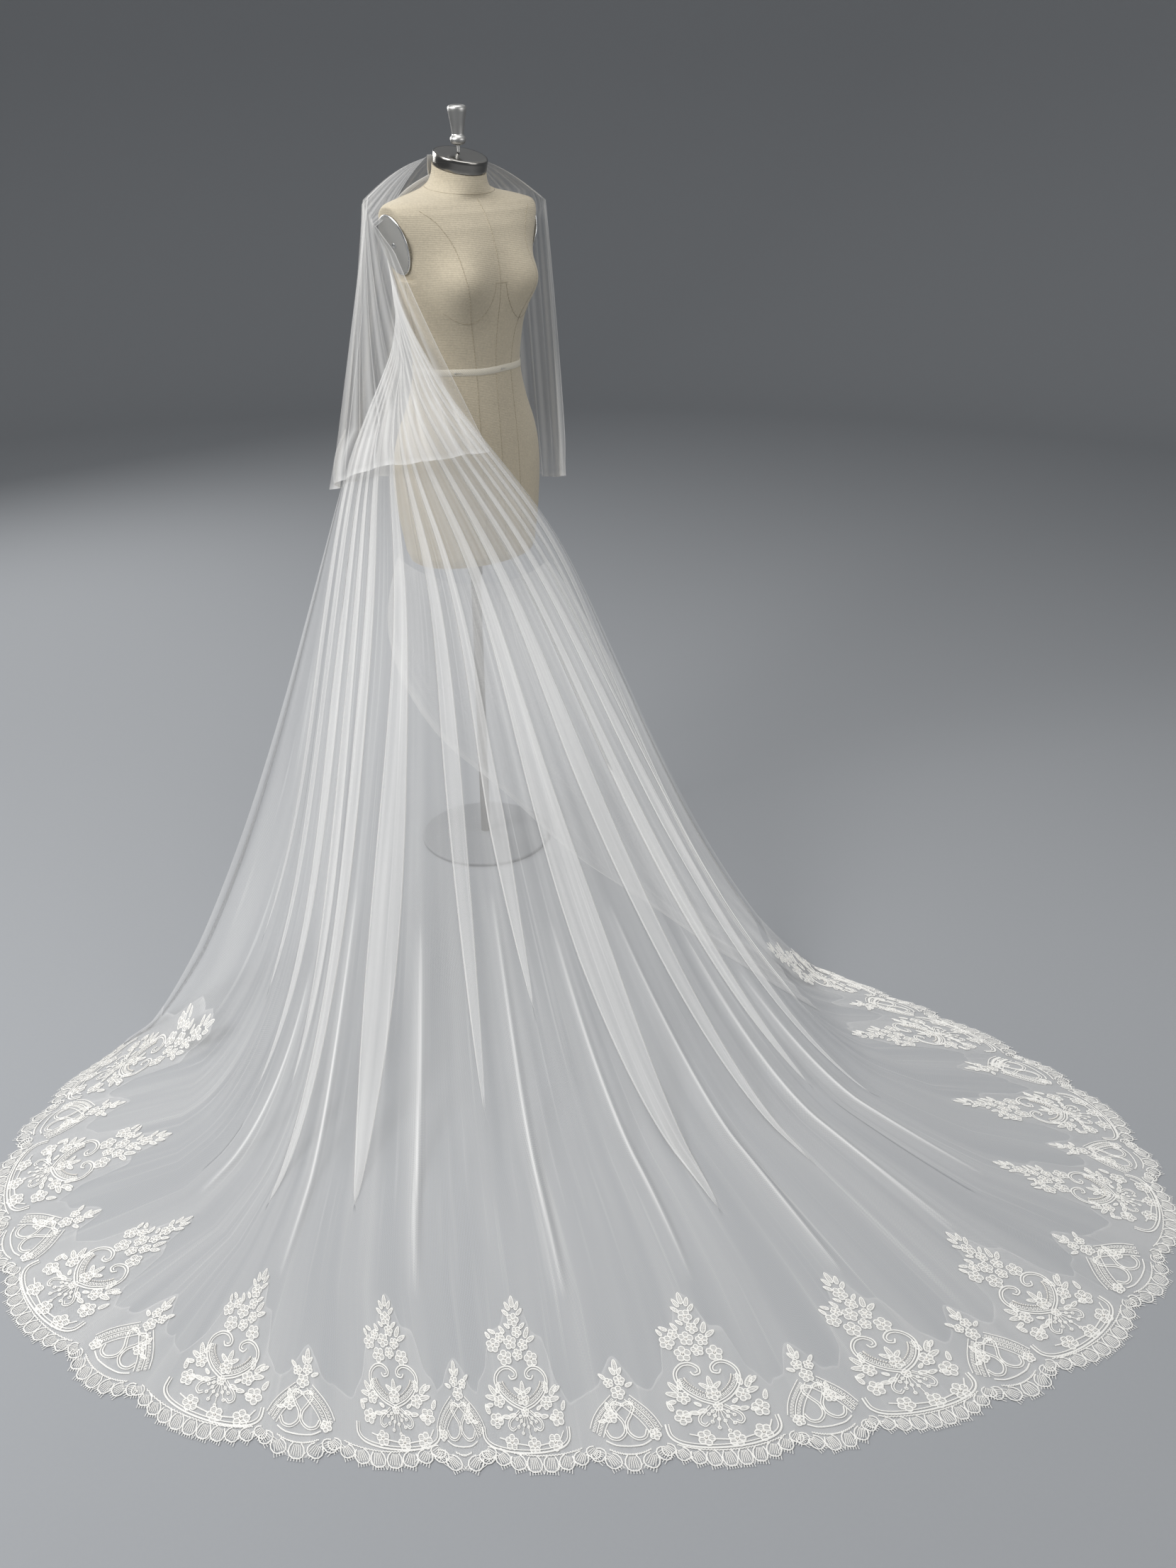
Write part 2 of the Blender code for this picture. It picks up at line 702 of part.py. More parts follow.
def make_short_tier(tulle, collection):
    """The plain-edged upper tier, in the three stretches that hang round the form."""
    over = 4
    rows = [SHORT_TURN * k / over for k in range(over)]
    rows += [lerp(SHORT_TURN, 1.0, k / (SHORT_ROWS - over)) for k in range(SHORT_ROWS - over + 1)]
    for name, start, end in SHORT_PARTS:
        count = round(SHORT_COLUMNS * (end - start))
        columns = [lerp(start, end, k / count) for k in range(count + 1)]

        def point(w, share, start=start):
            seam = lerp(0.014, 0.0012, smooth(4 * share))
            return short_point(max(w, start + seam) if start else w, share)

        cloth(name, point, columns, rows, tulle, collection, outside=-1)


def make_long_tier(tulle, collection, hem):
    """The long tier: head, wrap round the form's right side, train sectors and folded layer."""
    head_columns = [k / 12 for k in range(13)]
    rows = [k / 5 for k in range(5)] + [0.995]
    cloth("long_tier_head", head_point, head_columns, rows, tulle, collection)
    count = 34
    columns = [k / count for k in range(count + 1)]
    rows = [0.004 + 0.993 * k / WRAP_ROWS for k in range(WRAP_ROWS + 1)]

    def wrap(u, share):
        return wrap_point(u, share * (1 - 0.007 * smooth(4 - 7 * u)), hem)

    cloth("long_tier_wrap", wrap, columns, rows, tulle, collection)

    def train(u, row):
        if row <= 1:
            seam = 0.0032 * (1 - row) if any(abs(u - first) < 1e-9 for first in firsts) else 0.0
            return train_point(u + seam, row, hem)
        s = u * hem.length
        depth = lerp(scallop(s), border_width(s), BORDER_ROWS[row - 2])
        return train_plain(u, 1.0, hem, depth)

    firsts = [sector_columns(sector)[0] for sector in range(1, TRAIN_SECTORS)]
    rows = list(TRAIN_ROWS) + [2 + k for k in range(len(BORDER_ROWS))]
    for sector in range(TRAIN_SECTORS):
        columns = sector_columns(sector)
        cloth(f"train_{sector + 1}", train, columns, rows, tulle, collection)

    def under(k, share):
        return far_point(k, share, hem)

    columns = [k / FAR_COLUMNS for k in range(FAR_COLUMNS + 1)]
    rows = [k / 13 for k in range(14)]
    cloth("train_folded_layer", under, columns, rows, tulle, collection, outside=-1)


def sector_columns(sector):
    """The threads of one train sector, with a narrow seam to the sector before it."""
    start, end = sector / TRAIN_SECTORS, (sector + 1) / TRAIN_SECTORS
    first = start + (0.00022 if sector else 0)
    return [lerp(first, end, k / SECTOR_COLUMNS) for k in range(SECTOR_COLUMNS + 1)]


def lace_height(s):
    """How far the lace reaches in from the edge: tall over each big motif, less between them."""
    middles = motif_middles()
    reach = LOW
    for m in middles:
        reach = max(reach, LOW + (TALL - LOW) * smooth(1.25 - abs(s - m) / 0.050))
        reach = max(reach, LOW + 0.055 * smooth(1.3 - abs(s - m) / 0.085))
    for left, right in zip(middles, middles[1:]):
        m = (left + right) / 2
        reach = max(reach, LOW + (MIDDLE_TALL - LOW) * smooth(1.25 - abs(s - m) / 0.034))
    return reach


def relief(s, t):
    """The raised lace at a length along the hem and a depth in from it, from 0 to 1."""
    near = min(abs(s - m) for m in motif_middles())
    heart = math.hypot(near / 0.042, (t - 0.125) / 0.045)
    on_heart = smooth(2.2 - 2.4 * abs(heart - 0.85))
    rim = smooth((0.030 - t) / 0.012)
    column = smooth((t - 0.17) / 0.01) * smooth((0.030 - near) / 0.010)
    return max(on_heart, rim, column)


def border_normal(u, depth, hem):
    """The train's upward normal in the lace border."""
    step = 0.002
    before = train_plain(max(u - step, 0), 1.0, hem, depth)
    after = train_plain(min(u + step, 1), 1.0, hem, depth)
    inner = train_plain(u, 1.0, hem, depth + 0.01)
    outer = train_plain(u, 1.0, hem, depth - 0.01)
    normal = (after - before).cross(inner - outer).normalized()
    return normal if normal.z > 0 else -normal


def border_twist(u, depth, normal, hem):
    """How far one of the border's faces is twisted out of a plane."""
    across = 1 / (TRAIN_SECTORS * SECTOR_COLUMNS)
    inwards = border_width(u * hem.length) / 3
    swing = Vector()
    for side, k in ((1, 1), (1, -1), (-1, 1), (-1, -1)):
        corner = train_plain(min(max(u + k * across, 0), 1), 1.0, hem, depth + side * inwards / 2)
        swing += corner * side * k
    return abs(swing.dot(normal))


def on_border(u, row, hem):
    """A corner of the train's own mesh in the border, at a row counted in from the edge."""
    last = len(BORDER_ROWS) - 1
    shares = list(reversed(BORDER_ROWS))
    k = min(int(row), last - 1)
    s = u * hem.length
    edge, width = scallop(s), border_width(s)
    ends = [train_plain(u, 1.0, hem, lerp(edge, width, shares[k + i])) for i in (0, 1)]
    return ends[0].lerp(ends[1], row - k)


def make_lace(finish, collection, hem):
    """The lace border: strips on the train's outer face, raised where the motifs are corded."""
    last = len(BORDER_ROWS) - 1
    for sector in range(TRAIN_SECTORS):
        threads = sector_columns(sector)
        columns = [(u, u) for u in threads]
        columns += [(u, after) for u, after in zip(threads, threads[1:])]
        columns.sort()
        top, bottom = [], []
        for row in range(LACE_ROWS + 1):
            for u, after in columns:
                middle = (u + after) / 2
                s = middle * hem.length
                edge = scallop(s)
                width = border_width(s)
                reach = min(lace_height(s), width - edge - 0.002)
                depth = edge + reach * row / LACE_ROWS
                place = (depth - edge) / (width - edge) * last
                spot = on_border(u, place, hem).lerp(on_border(after, place, hem), 0.5)
                normal = border_normal(middle, depth, hem)
                lift = LACE_LIFT + TWIST_LIFT * border_twist(middle, depth, normal, hem)
                base = spot + normal * (WALL + lift)
                swell = relief(s, depth - edge) * LACE_RELIEF
                bottom.append(base)
                top.append(base + normal * (LACE_THICK + swell))
        wide = len(columns)
        total = len(top)
        upper = grid_faces(wide, LACE_ROWS + 1)
        lower = [tuple(total + i for i in reversed(face)) for face in upper]
        rim = [i for i in range(wide)]
        rim += [wide * r + wide - 1 for r in range(1, LACE_ROWS + 1)]
        rim += [wide * LACE_ROWS + i for i in range(wide - 2, -1, -1)]
        rim += [wide * r for r in range(LACE_ROWS - 1, 0, -1)]
        sides = [(total + a, total + b, b, a) for a, b in zip(rim, rim[1:] + rim[:1])]
        new_object(
            f"lace_border_{sector + 1}", top + bottom, upper + lower + sides, finish, collection
        )


def make_head_band(tulle, collection):
    """The narrow bound heading that both tiers are gathered to, pinned round the back of the neck."""
    count = 16
    inside, outside = BAND_RADIUS, BAND_RADIUS + BAND_THICK
    points = []
    for k in range(count + 1):
        level = direction(lerp(-84, -190, k / count))
        for radius, z in (
            (inside, HEAD_Z), (outside, HEAD_Z),
            (outside, HEAD_Z + HEAD_HEIGHT), (inside, HEAD_Z + HEAD_HEIGHT),
        ):
            points.append((level.x * radius, level.y * radius, z))
    faces = grid_faces(4, count + 1, ring=True)
    last = 4 * count
    faces += [(3, 2, 1, 0), (last, last + 1, last + 2, last + 3)]
    new_object("head_band", points, faces, tulle, collection)


def main():
    for item in list(bpy.data.objects):
        bpy.data.objects.remove(item, do_unlink=True)
    collection = bpy.data.collections.new("bridal_veil_on_dress_form")
    bpy.context.scene.collection.children.link(collection)
    linen = material("linen_cover", (0.72, 0.66, 0.53), 0.9)
    steel = material("brushed_steel", (0.55, 0.54, 0.52), 0.3, 1.0)
    clear = material("clear_plate", (0.60, 0.61, 0.62), 0.2)
    tulle = material("tulle", (0.92, 0.92, 0.93), 0.6)
    lace = material("corded_lace", (0.95, 0.94, 0.91), 0.7)
    hem = Hem()
    make_torso(linen, collection)
    make_metalwork(steel, collection)
    make_plates(clear, collection)
    make_head_band(tulle, collection)
    make_short_tier(tulle, collection)
    make_long_tier(tulle, collection, hem)
    make_lace(lace, collection, hem)


main()
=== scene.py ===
"""The looks of a two-tier bridal veil on a limbless dress form, in metres, +Z up.

The train lies towards -Y, and the form's front looks towards +X and -Y. Laid out as a Blender
add-on, and run as a script over the CAD frame.
"""

import json
import math

import bpy
import numpy as np
from bpy.props import FloatProperty, FloatVectorProperty, PointerProperty
from bpy.types import Operator, Panel, PropertyGroup
from mathutils import Matrix, Vector

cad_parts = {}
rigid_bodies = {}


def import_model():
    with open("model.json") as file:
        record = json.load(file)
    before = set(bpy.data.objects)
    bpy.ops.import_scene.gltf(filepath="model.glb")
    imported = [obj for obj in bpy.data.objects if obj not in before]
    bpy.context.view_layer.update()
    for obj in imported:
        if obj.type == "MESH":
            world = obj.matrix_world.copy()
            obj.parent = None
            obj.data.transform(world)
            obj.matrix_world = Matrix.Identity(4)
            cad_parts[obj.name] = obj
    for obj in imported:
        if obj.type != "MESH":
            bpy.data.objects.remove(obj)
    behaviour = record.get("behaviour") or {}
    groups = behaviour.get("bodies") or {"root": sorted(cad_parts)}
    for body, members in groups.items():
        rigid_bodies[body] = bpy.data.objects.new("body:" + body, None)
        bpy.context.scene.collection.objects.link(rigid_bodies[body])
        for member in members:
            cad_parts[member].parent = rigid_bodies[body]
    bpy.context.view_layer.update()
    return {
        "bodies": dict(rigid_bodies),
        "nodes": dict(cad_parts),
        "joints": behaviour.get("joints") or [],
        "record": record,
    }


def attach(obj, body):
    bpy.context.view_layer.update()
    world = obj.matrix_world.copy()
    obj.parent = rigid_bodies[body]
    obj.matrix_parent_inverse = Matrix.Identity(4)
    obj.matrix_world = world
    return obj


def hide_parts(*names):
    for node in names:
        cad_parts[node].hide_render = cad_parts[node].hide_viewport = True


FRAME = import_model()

bl_info = {
    "name": "Bridal Veil on Dress Form",
    "version": (1, 0, 0),
    "blender": (4, 5, 0),
    "location": "3D View > Sidebar > Veil",
    "description": "Builds the tulle, lace, dress form and studio of a draped bridal veil",
    "category": "Object",
}

# The form's own sizes, as in the solids
FORM_TURN = math.radians(44)
BUST_Z = 1.262
NECK_TOP_Z = 1.459
NECK_TILT = math.radians(15)
HIP_CUT_Z = 0.705
TORSO = (
    ("z", "half", "front", "back", "tilt"),
    (0.705, 0.144, 0.098, 0.128, 0.0),
    (0.720, 0.150, 0.103, 0.136, 0.0),
    (0.800, 0.162, 0.106, 0.151, 0.0),
    (0.890, 0.169, 0.103, 0.150, 0.0),
    (0.960, 0.160, 0.100, 0.128, 0.0),
    (1.040, 0.131, 0.094, 0.099, 0.0),
    (1.100, 0.119, 0.090, 0.090, 0.0),
    (1.160, 0.125, 0.095, 0.095, 0.0),
    (1.220, 0.137, 0.104, 0.106, 0.0),
    (1.270, 0.146, 0.107, 0.114, 0.0),
    (1.320, 0.160, 0.100, 0.116, 0.0),
    (1.360, 0.176, 0.086, 0.106, 0.0),
    (1.385, 0.184, 0.070, 0.088, 0.0),
    (1.400, 0.174, 0.058, 0.071, 0.1),
    (1.410, 0.135, 0.052, 0.062, 0.3),
    (1.418, 0.092, 0.051, 0.059, 0.5),
    (1.427, 0.066, 0.052, 0.057, 0.7),
    (1.441, 0.055, 0.052, 0.054, 0.9),
    (1.459, 0.052, 0.051, 0.052, 1.0),
)
BUST_ANGLE = math.radians(36)
BUST_SPREAD = math.radians(23)
BUST_HEIGHT, BUST_SWELL = 0.052, 0.030
ARMHOLE_FOOT_Z, ARMHOLE_TOP_Z = 1.268, 1.397
ARMHOLE_FOOT_X, ARMHOLE_TOP_X = 0.138, 0.176
PLATE_HEIGHT, PLATE_WIDTH, PLATE_THICK = 0.108, 0.078, 0.004
CAP_RADIUS, CAP_THICK = 0.0525, 0.024
BASE_RADIUS, BASE_THICK, POLE_RADIUS = 0.150, 0.014, 0.011
SEAM = 0.0004

# The hem's line on the floor, round its own middle
HEM_MIDDLE = np.array((0.095, -0.850))
HEM = (
    ("degrees", "radius"),
    (-94, 0.734),
    (-83, 0.812),
    (-72, 0.874),
    (-60, 0.900),
    (-48, 0.895),
    (-36, 0.875),
    (-24, 0.852),
    (-12, 0.827),
    (0, 0.820),
    (12, 0.838),
    (24, 0.886),
    (36, 0.952),
    (48, 1.046),
    (58, 1.117),
    (68, 1.154),
    (76, 1.134),
    (84, 1.068),
    (92, 0.954),
    (100, 0.844),
    (108, 0.752),
    (113, 0.712),
)
# Threads of the long tier, from 0 at the left edge to 1 at the right fold: where they leave the
# hip, the share of their length at which they reach the floor, and how hollow they hang
THREADS = (
    ("u", "degrees", "radius", "z", "touch", "sag"),
    (0.00, -79, 0.262, 0.885, 0.91, 1.30),
    (0.03, -76, 0.261, 0.882, 0.83, 1.44),
    (0.06, -73, 0.258, 0.876, 0.76, 1.52),
    (0.10, -69, 0.253, 0.867, 0.73, 1.58),
    (0.17, -62, 0.242, 0.850, 0.72, 1.62),
    (0.27, -52, 0.228, 0.830, 0.70, 1.62),
    (0.36, -36, 0.210, 0.800, 0.67, 1.62),
    (0.46, -10, 0.198, 0.780, 0.64, 1.62),
    (0.56, 7, 0.192, 0.775, 0.63, 1.60),
    (0.72, 32, 0.188, 0.775, 0.64, 1.55),
    (0.86, 50, 0.186, 0.780, 0.72, 1.50),
    (0.94, 60, 0.188, 0.785, 0.82, 1.46),
    (0.97, 64, 0.189, 0.788, 0.86, 1.42),
    (1.00, 68, 0.190, 0.790, 0.94, 1.34),
)
THREAD_BEND = 0.5
GATHER_Z, GATHER_DEGREES = 1.345, (-100.0, -74.0)
HEAD_Z, HEAD_HEIGHT, HEAD_DEGREES, HEAD_RADIUS = 1.446, 0.034, (-172.0, -104.0), 0.0606
BAND_RADIUS = 0.0574
LONG_GAP, SHORT_GAP, LAYER_GAP, PLEAT_RISE = 0.0022, 0.012, 0.009, 0.0055

# Pressed pleats of the long tier: middle, half width in millimetres, and where they run out
PLEATS = (
    ("u", "half", "end"),
    (0.035, 17, 0.80),
    (0.090, 20, 0.74),
    (0.150, 16, 0.82),
    (0.205, 15, 0.76),
    (0.268, 34, 0.93),
    (0.359, 38, 0.88),
    (0.426, 18, 0.72),
    (0.471, 21, 0.56),
    (0.552, 40, 0.90),
    (0.636, 20, 0.86),
    (0.710, 30, 0.74),
    (0.780, 22, 0.84),
    (0.850, 26, 0.76),
    (0.905, 20, 0.84),
    (0.960, 22, 0.80),
)
# Narrow standing folds on the floor between the pleats
RIDGES = (
    ("u", "start", "end", "rise"),
    (0.312, 0.44, 1.02, 0.008),
    (0.395, 0.46, 1.01, 0.009),
    (0.450, 0.40, 1.03, 0.013),
    (0.512, 0.44, 1.00, 0.011),
    (0.596, 0.42, 1.03, 0.013),
    (0.673, 0.48, 1.02, 0.010),
    (0.745, 0.56, 1.00, 0.008),
    (0.178, 0.60, 0.98, 0.007),
)

# Threads of the short tier: where they end, and where they turn down over the shoulders
SHORT = (
    ("place", "degrees", "radius", "z", "turn", "turn_radius", "turn_z"),
    (0, 16, 0.172, 0.966, -50, 0.176, 1.366),
    (1, -17, 0.180, 0.952, -64, 0.180, 1.378),
    (2, -45, 0.200, 0.930, -78, 0.184, 1.388),
    (3, -69, 0.244, 0.886, -86, 0.186, 1.400),
    (4, -92, 0.292, 0.836, -95, 0.178, 1.406),
    (5, -115, 0.286, 0.826, -114, 0.168, 1.402),
    (6, -140, 0.262, 0.820, -139, 0.162, 1.396),
    (7, -165, 0.242, 0.818, -162, 0.166, 1.398),
    (8, -190, 0.226, 0.820, -186, 0.176, 1.404),
    (9, -213, 0.212, 0.826, -206, 0.184, 1.410),
    (10, -238, 0.200, 0.838, -224, 0.190, 1.408),
    (11, -262, 0.196, 0.862, -240, 0.184, 1.396),
)
SHORT_NECK_Z, SHORT_NECK_RADIUS, SHORT_NECK_DEGREES = 1.478, 0.0604, (-84.0, -190.0)
SHORT_FOLDS, SHORT_TURN = 17, 0.20

# The free edge of the layer folded back under the right fold
FAR_EDGE = (
    ("share", "x", "y", "z"),
    (0, -0.150, -0.125, 0.690),
    (1, -0.205, -0.105, 0.560),
    (2, -0.205, -0.085, 0.440),
    (3, -0.110, -0.082, 0.315),
    (4, 0.050, -0.085, 0.165),
    (5, 0.200, -0.110, 0.022),
    (6, 0.340, -0.260, 0.0),
    (7, 0.490, -0.455, 0.0),
    (8, 0.610, -0.600, 0.0),
    (9, 0.700, -0.700, 0.0),
)

# Lace: middles of the big motifs along the hem, and the border's own directions and width
MOTIFS = (
    0.110, 0.383, 0.685, 1.061, 1.344, 1.514, 1.783, 2.076, 2.361, 2.700, 2.923, 3.220, 3.475,
)
AXES = (
    ("s", "degrees", "width"),
    (0.000, -32, 0.22),
    (0.055, -50, 0.24),
    (0.110, -62, 0.26),
    (0.200, -66, 0.28),
    (0.383, -65, 0.30),
    (0.685, -47, 0.30),
    (1.061, -7, 0.30),
    (1.344, 12, 0.30),
    (1.514, 8, 0.30),
    (1.783, 12, 0.30),
    (2.076, 25, 0.30),
    (2.361, 38, 0.30),
    (2.700, 66, 0.30),
    (2.923, 80, 0.29),
    (3.080, 87, 0.27),
    (3.220, 90, 0.25),
    (3.330, 87, 0.22),
    (3.475, 74, 0.18),
    (3.560, 56, 0.18),
)
SCALLOP_DEPTH, TALL, LOW, MIDDLE_TALL = 0.034, 0.290, 0.088, 0.172

# Lace drawing, in millimetres from a motif's middle: across, and in from the hem's line
HEART = (
    (0, 91), (19, 101), (34, 116), (42, 133), (41, 149), (31, 161), (18, 163), (8, 155),
    (8, 145), (16, 142), (20, 148),
)
SCROLL = ((11, 92), (20, 85), (31, 76), (33, 66), (26, 60), (19, 64))
FLOWERS = (
    ("x", "y", "size"),
    (-30, 43, 11),
    (12, 38, 11),
    (52, 43, 12),
    (-54, 76, 11),
    (62, 80, 12),
    (0, 110, 10),
    (-46, 106, 9),
    (44, 104, 10),
    (-27, 178, 12),
    (24, 176, 12),
    (-2, 183, 9),
    (-14, 204, 11),
    (11, 200, 9),
    (-47, 199, 11),
    (-33, 213, 8),
    (1, 222, 9),
    (-4, 244, 11),
)
LEAVES = (
    ("x", "y", "long", "turn"),
    (0, 120, 17, 0),
    (4, 119, 14, 55),
    (-4, 119, 14, -55),
    (-52, 110, 17, -75),
    (-51, 116, 18, -35),
    (-47, 119, 16, 6),
    (-58, 101, 13, -100),
    (51, 108, 18, 78),
    (53, 115, 20, 38),
    (47, 119, 18, -4),
    (61, 122, 14, 58),
    (20, 206, 17, 62),
    (16, 212, 19, 26),
    (-24, 220, 14, -34),
    (-41, 220, 13, -62),
    (-52, 211, 12, -30),
    (8, 229, 13, 50),
    (-12, 229, 12, -52),
    (-12, 252, 14, -50),
    (5, 253, 15, 46),
    (-9, 261, 16, -28),
    (3, 262, 16, 26),
    (-3, 266, 20, 0),
    (-17, 85, 13, -100),
    (-29, 81, 13, -84),
    (-42, 79, 12, -96),
    (18, 86, 13, 98),
    (31, 82, 13, 86),
    (47, 80, 12, 98),
    (-66, 86, 15, -20),
    (73, 92, 15, 24),
    (-23, 92, 10, -58),
    (24, 93, 10, 58),
)
BARS = (((-52, 50), (-38, 46)), ((-21, 41), (3, 38)), ((21, 38), (42, 42)), ((61, 46), (70, 60)))
RAYS = (
    ("degrees", "long"),
    (-58, 20),
    (-34, 27),
    (-14, 33),
    (8, 38),
    (30, 31),
    (52, 24),
)
MIDDLE_FLOWERS = (
    ("x", "y", "size"),
    (20, 80, 9),
    (2, 118, 10),
    (-4, 138, 8),
    (14, 134, 7),
    (-42, 52, 8),
)
MIDDLE_LEAVES = (
    ("x", "y", "long", "turn"),
    (22, 89, 13, 8),
    (-3, 148, 12, -34),
    (1, 147, 13, 30),
    (-1, 153, 18, 0),
    (18, 140, 12, 48),
    (-12, 128, 12, -64),
    (28, 74, 11, 96),
)
PAISLEY = ((8, 100), (-4, 104), (-10, 95), (-4, 82), (4, 70), (4, 57), (-6, 48), (-17, 50), (-22, 60))
BATTLEMENT = ((-50, 58), (-43, 74), (-33, 88), (-21, 100), (-10, 110))
FRAME = ((-82, 66), (-80, 48), (-66, 36), (-36, 29), (0, 27), (36, 29), (66, 36), (80, 48), (82, 66))

# Where the lace's own net is cut: millimetres from a motif's middle, and in from the edge
BIG_OUTLINE = (
    ("near", "reach"), (0, 288), (10, 280), (20, 258), (30, 226), (52, 212), (60, 176), (66, 138),
    (78, 116), (90, 92),
)
MIDDLE_OUTLINE = (
    ("near", "reach"), (0, 178), (8, 172), (20, 150), (30, 122), (52, 92),
)

# Seams of the form's cover, as degrees from the front and heights
SEAM_LINES = (
    ((0, 0.706), (0, 0.80), (0, 0.95), (0, 1.09), (0, 1.20), (0, 1.30), (0, 1.37), (0, 1.412)),
    ((24, 0.706), (26, 0.85), (27, 1.00), (28, 1.09), (33, 1.19), (36, 1.262), (44, 1.32),
     (58, 1.365), (72, 1.392)),
    ((90, 0.706), (90, 0.85), (90, 1.00), (90, 1.09), (90, 1.20), (90, 1.262)),
    ((150, 0.706), (150, 0.90), (152, 1.09), (146, 1.22), (132, 1.33), (118, 1.388)),
    ((180, 0.706), (180, 0.90), (180, 1.09), (180, 1.25), (180, 1.38), (180, 1.412)),
    ((58, 1.212), (48, 1.197), (36, 1.190), (24, 1.198), (15, 1.216), (9, 1.238), (6, 1.262)),
)


def srgb(text):
    """A linear colour from an sRGB hex value."""
    parts = [int(text[k : k + 2], 16) / 255 for k in (1, 3, 5)]
    return tuple(c / 12.92 if c <= 0.04045 else ((c + 0.055) / 1.055) ** 2.4 for c in parts)


def curve(table, name, at):
    """A column of a table at places between its rows, on a smooth curve through them."""
    rows = np.array(table[1:], float)
    keys, values = rows[:, 0], rows[:, table[0].index(name)]
    at = np.clip(at, keys[0], keys[-1])
    last = len(keys) - 1
    i = np.clip(np.searchsorted(keys, at, side="right") - 1, 0, last - 1)
    t = (at - keys[i]) / (keys[i + 1] - keys[i])
    before, start = values[np.maximum(i - 1, 0)], values[i]
    end, after = values[i + 1], values[np.minimum(i + 2, last)]
    rise, fall = (end - before) / 2, (after - start) / 2
    return (
        start * (2 * t**3 - 3 * t**2 + 1)
        + rise * (t**3 - 2 * t**2 + t)
        + end * (3 * t**2 - 2 * t**3)
        + fall * (t**3 - t**2)
    )


def smooth(t):
    """0 to 1 with a soft start and end."""
    t = np.clip(t, 0.0, 1.0)
    return t * t * (3 - 2 * t)


def lerp(a, b, t):
    return a + (b - a) * t


def direction(degrees):
    """Level unit vectors, turned from -Y towards +X."""
    angle = np.radians(degrees)
    return np.stack([np.sin(angle), -np.cos(angle)], -1)


def unit(vectors):
    """Vectors at length 1."""
    return vectors / np.maximum(np.linalg.norm(vectors, axis=-1, keepdims=True), 1e-12)


def rows_of(table):
    """The rows of a table as dictionaries."""
    return [dict(zip(table[0], row)) for row in table[1:]]


def node(tree, kind, inputs=None, **settings):
    """Adds a node with its settings. Its inputs are values, or sockets to link from."""
    made = tree.nodes.new(kind)
    for name, value in settings.items():
        setattr(made, name, value)
    for name, value in (inputs or {}).items():
        if isinstance(value, bpy.types.NodeSocket):
            tree.links.new(value, made.inputs[name])
        else:
            made.inputs[name].default_value = value
    return made


def finish_named(name, colour, roughness, **constants):
    """A new material with its Principled shader, and the constants on its own sockets."""
    made = bpy.data.materials.new(name)
    made.use_nodes = True
    tree = made.node_tree
    shader = tree.nodes["Principled BSDF"]
    shader.inputs["Base Color"].default_value = (*colour, 1.0)
    shader.inputs["Roughness"].default_value = roughness
    for key, value in constants.items():
        shader.inputs[key.replace("_", " ")].default_value = value
    return made, tree, shader


def ramp(tree, source, low, high, start=0.0, end=1.0):
    """The source, mapped from low and high to start and end."""
    made = node(tree, "ShaderNodeMapRange", {0: source, 1: low, 2: high, 3: start, 4: end})
    return made.outputs[0]


def maths(tree, operation, *values):
    """A Math node's result."""
    inputs = dict(enumerate(values))
    return node(tree, "ShaderNodeMath", inputs, operation=operation).outputs[0]


def mixed(tree, share, first, second):
    """A colour between two, by a share."""
    inputs = {"Factor": share, 6: (*first, 1.0), 7: (*second, 1.0)}
    return node(tree, "ShaderNodeMix", inputs, data_type="RGBA").outputs[2]


def bumped(tree, shader, height, distance, strength=0.6):
    """A height in metres, as the shader's bump."""
    bump = node(
        tree, "ShaderNodeBump", {"Height": height, "Distance": distance, "Strength": strength}
    )
    tree.links.new(bump.outputs[0], shader.inputs["Normal"])


def net_threads(tree, cell):
    """Where the threads of a hexagonal net run, from 0 in a hole to 1 on a thread."""
    place = node(tree, "ShaderNodeUVMap", uv_map="cloth").outputs[0]
    waves = []
    for degrees in (0, 60, 120):
        turn = math.radians(degrees)
        size = 2 * math.pi / (cell * math.cos(math.pi / 6))
        axis = (math.cos(turn) * size, math.sin(turn) * size, 0.0)
        across = node(tree, "ShaderNodeVectorMath", {0: place, 1: axis}, operation="DOT_PRODUCT")
        waves.append(maths(tree, "COSINE", across.outputs["Value"]))
    total = maths(tree, "ADD", maths(tree, "ADD", waves[0], waves[1]), waves[2])
    return ramp(tree, total, 0.9, -1.1)


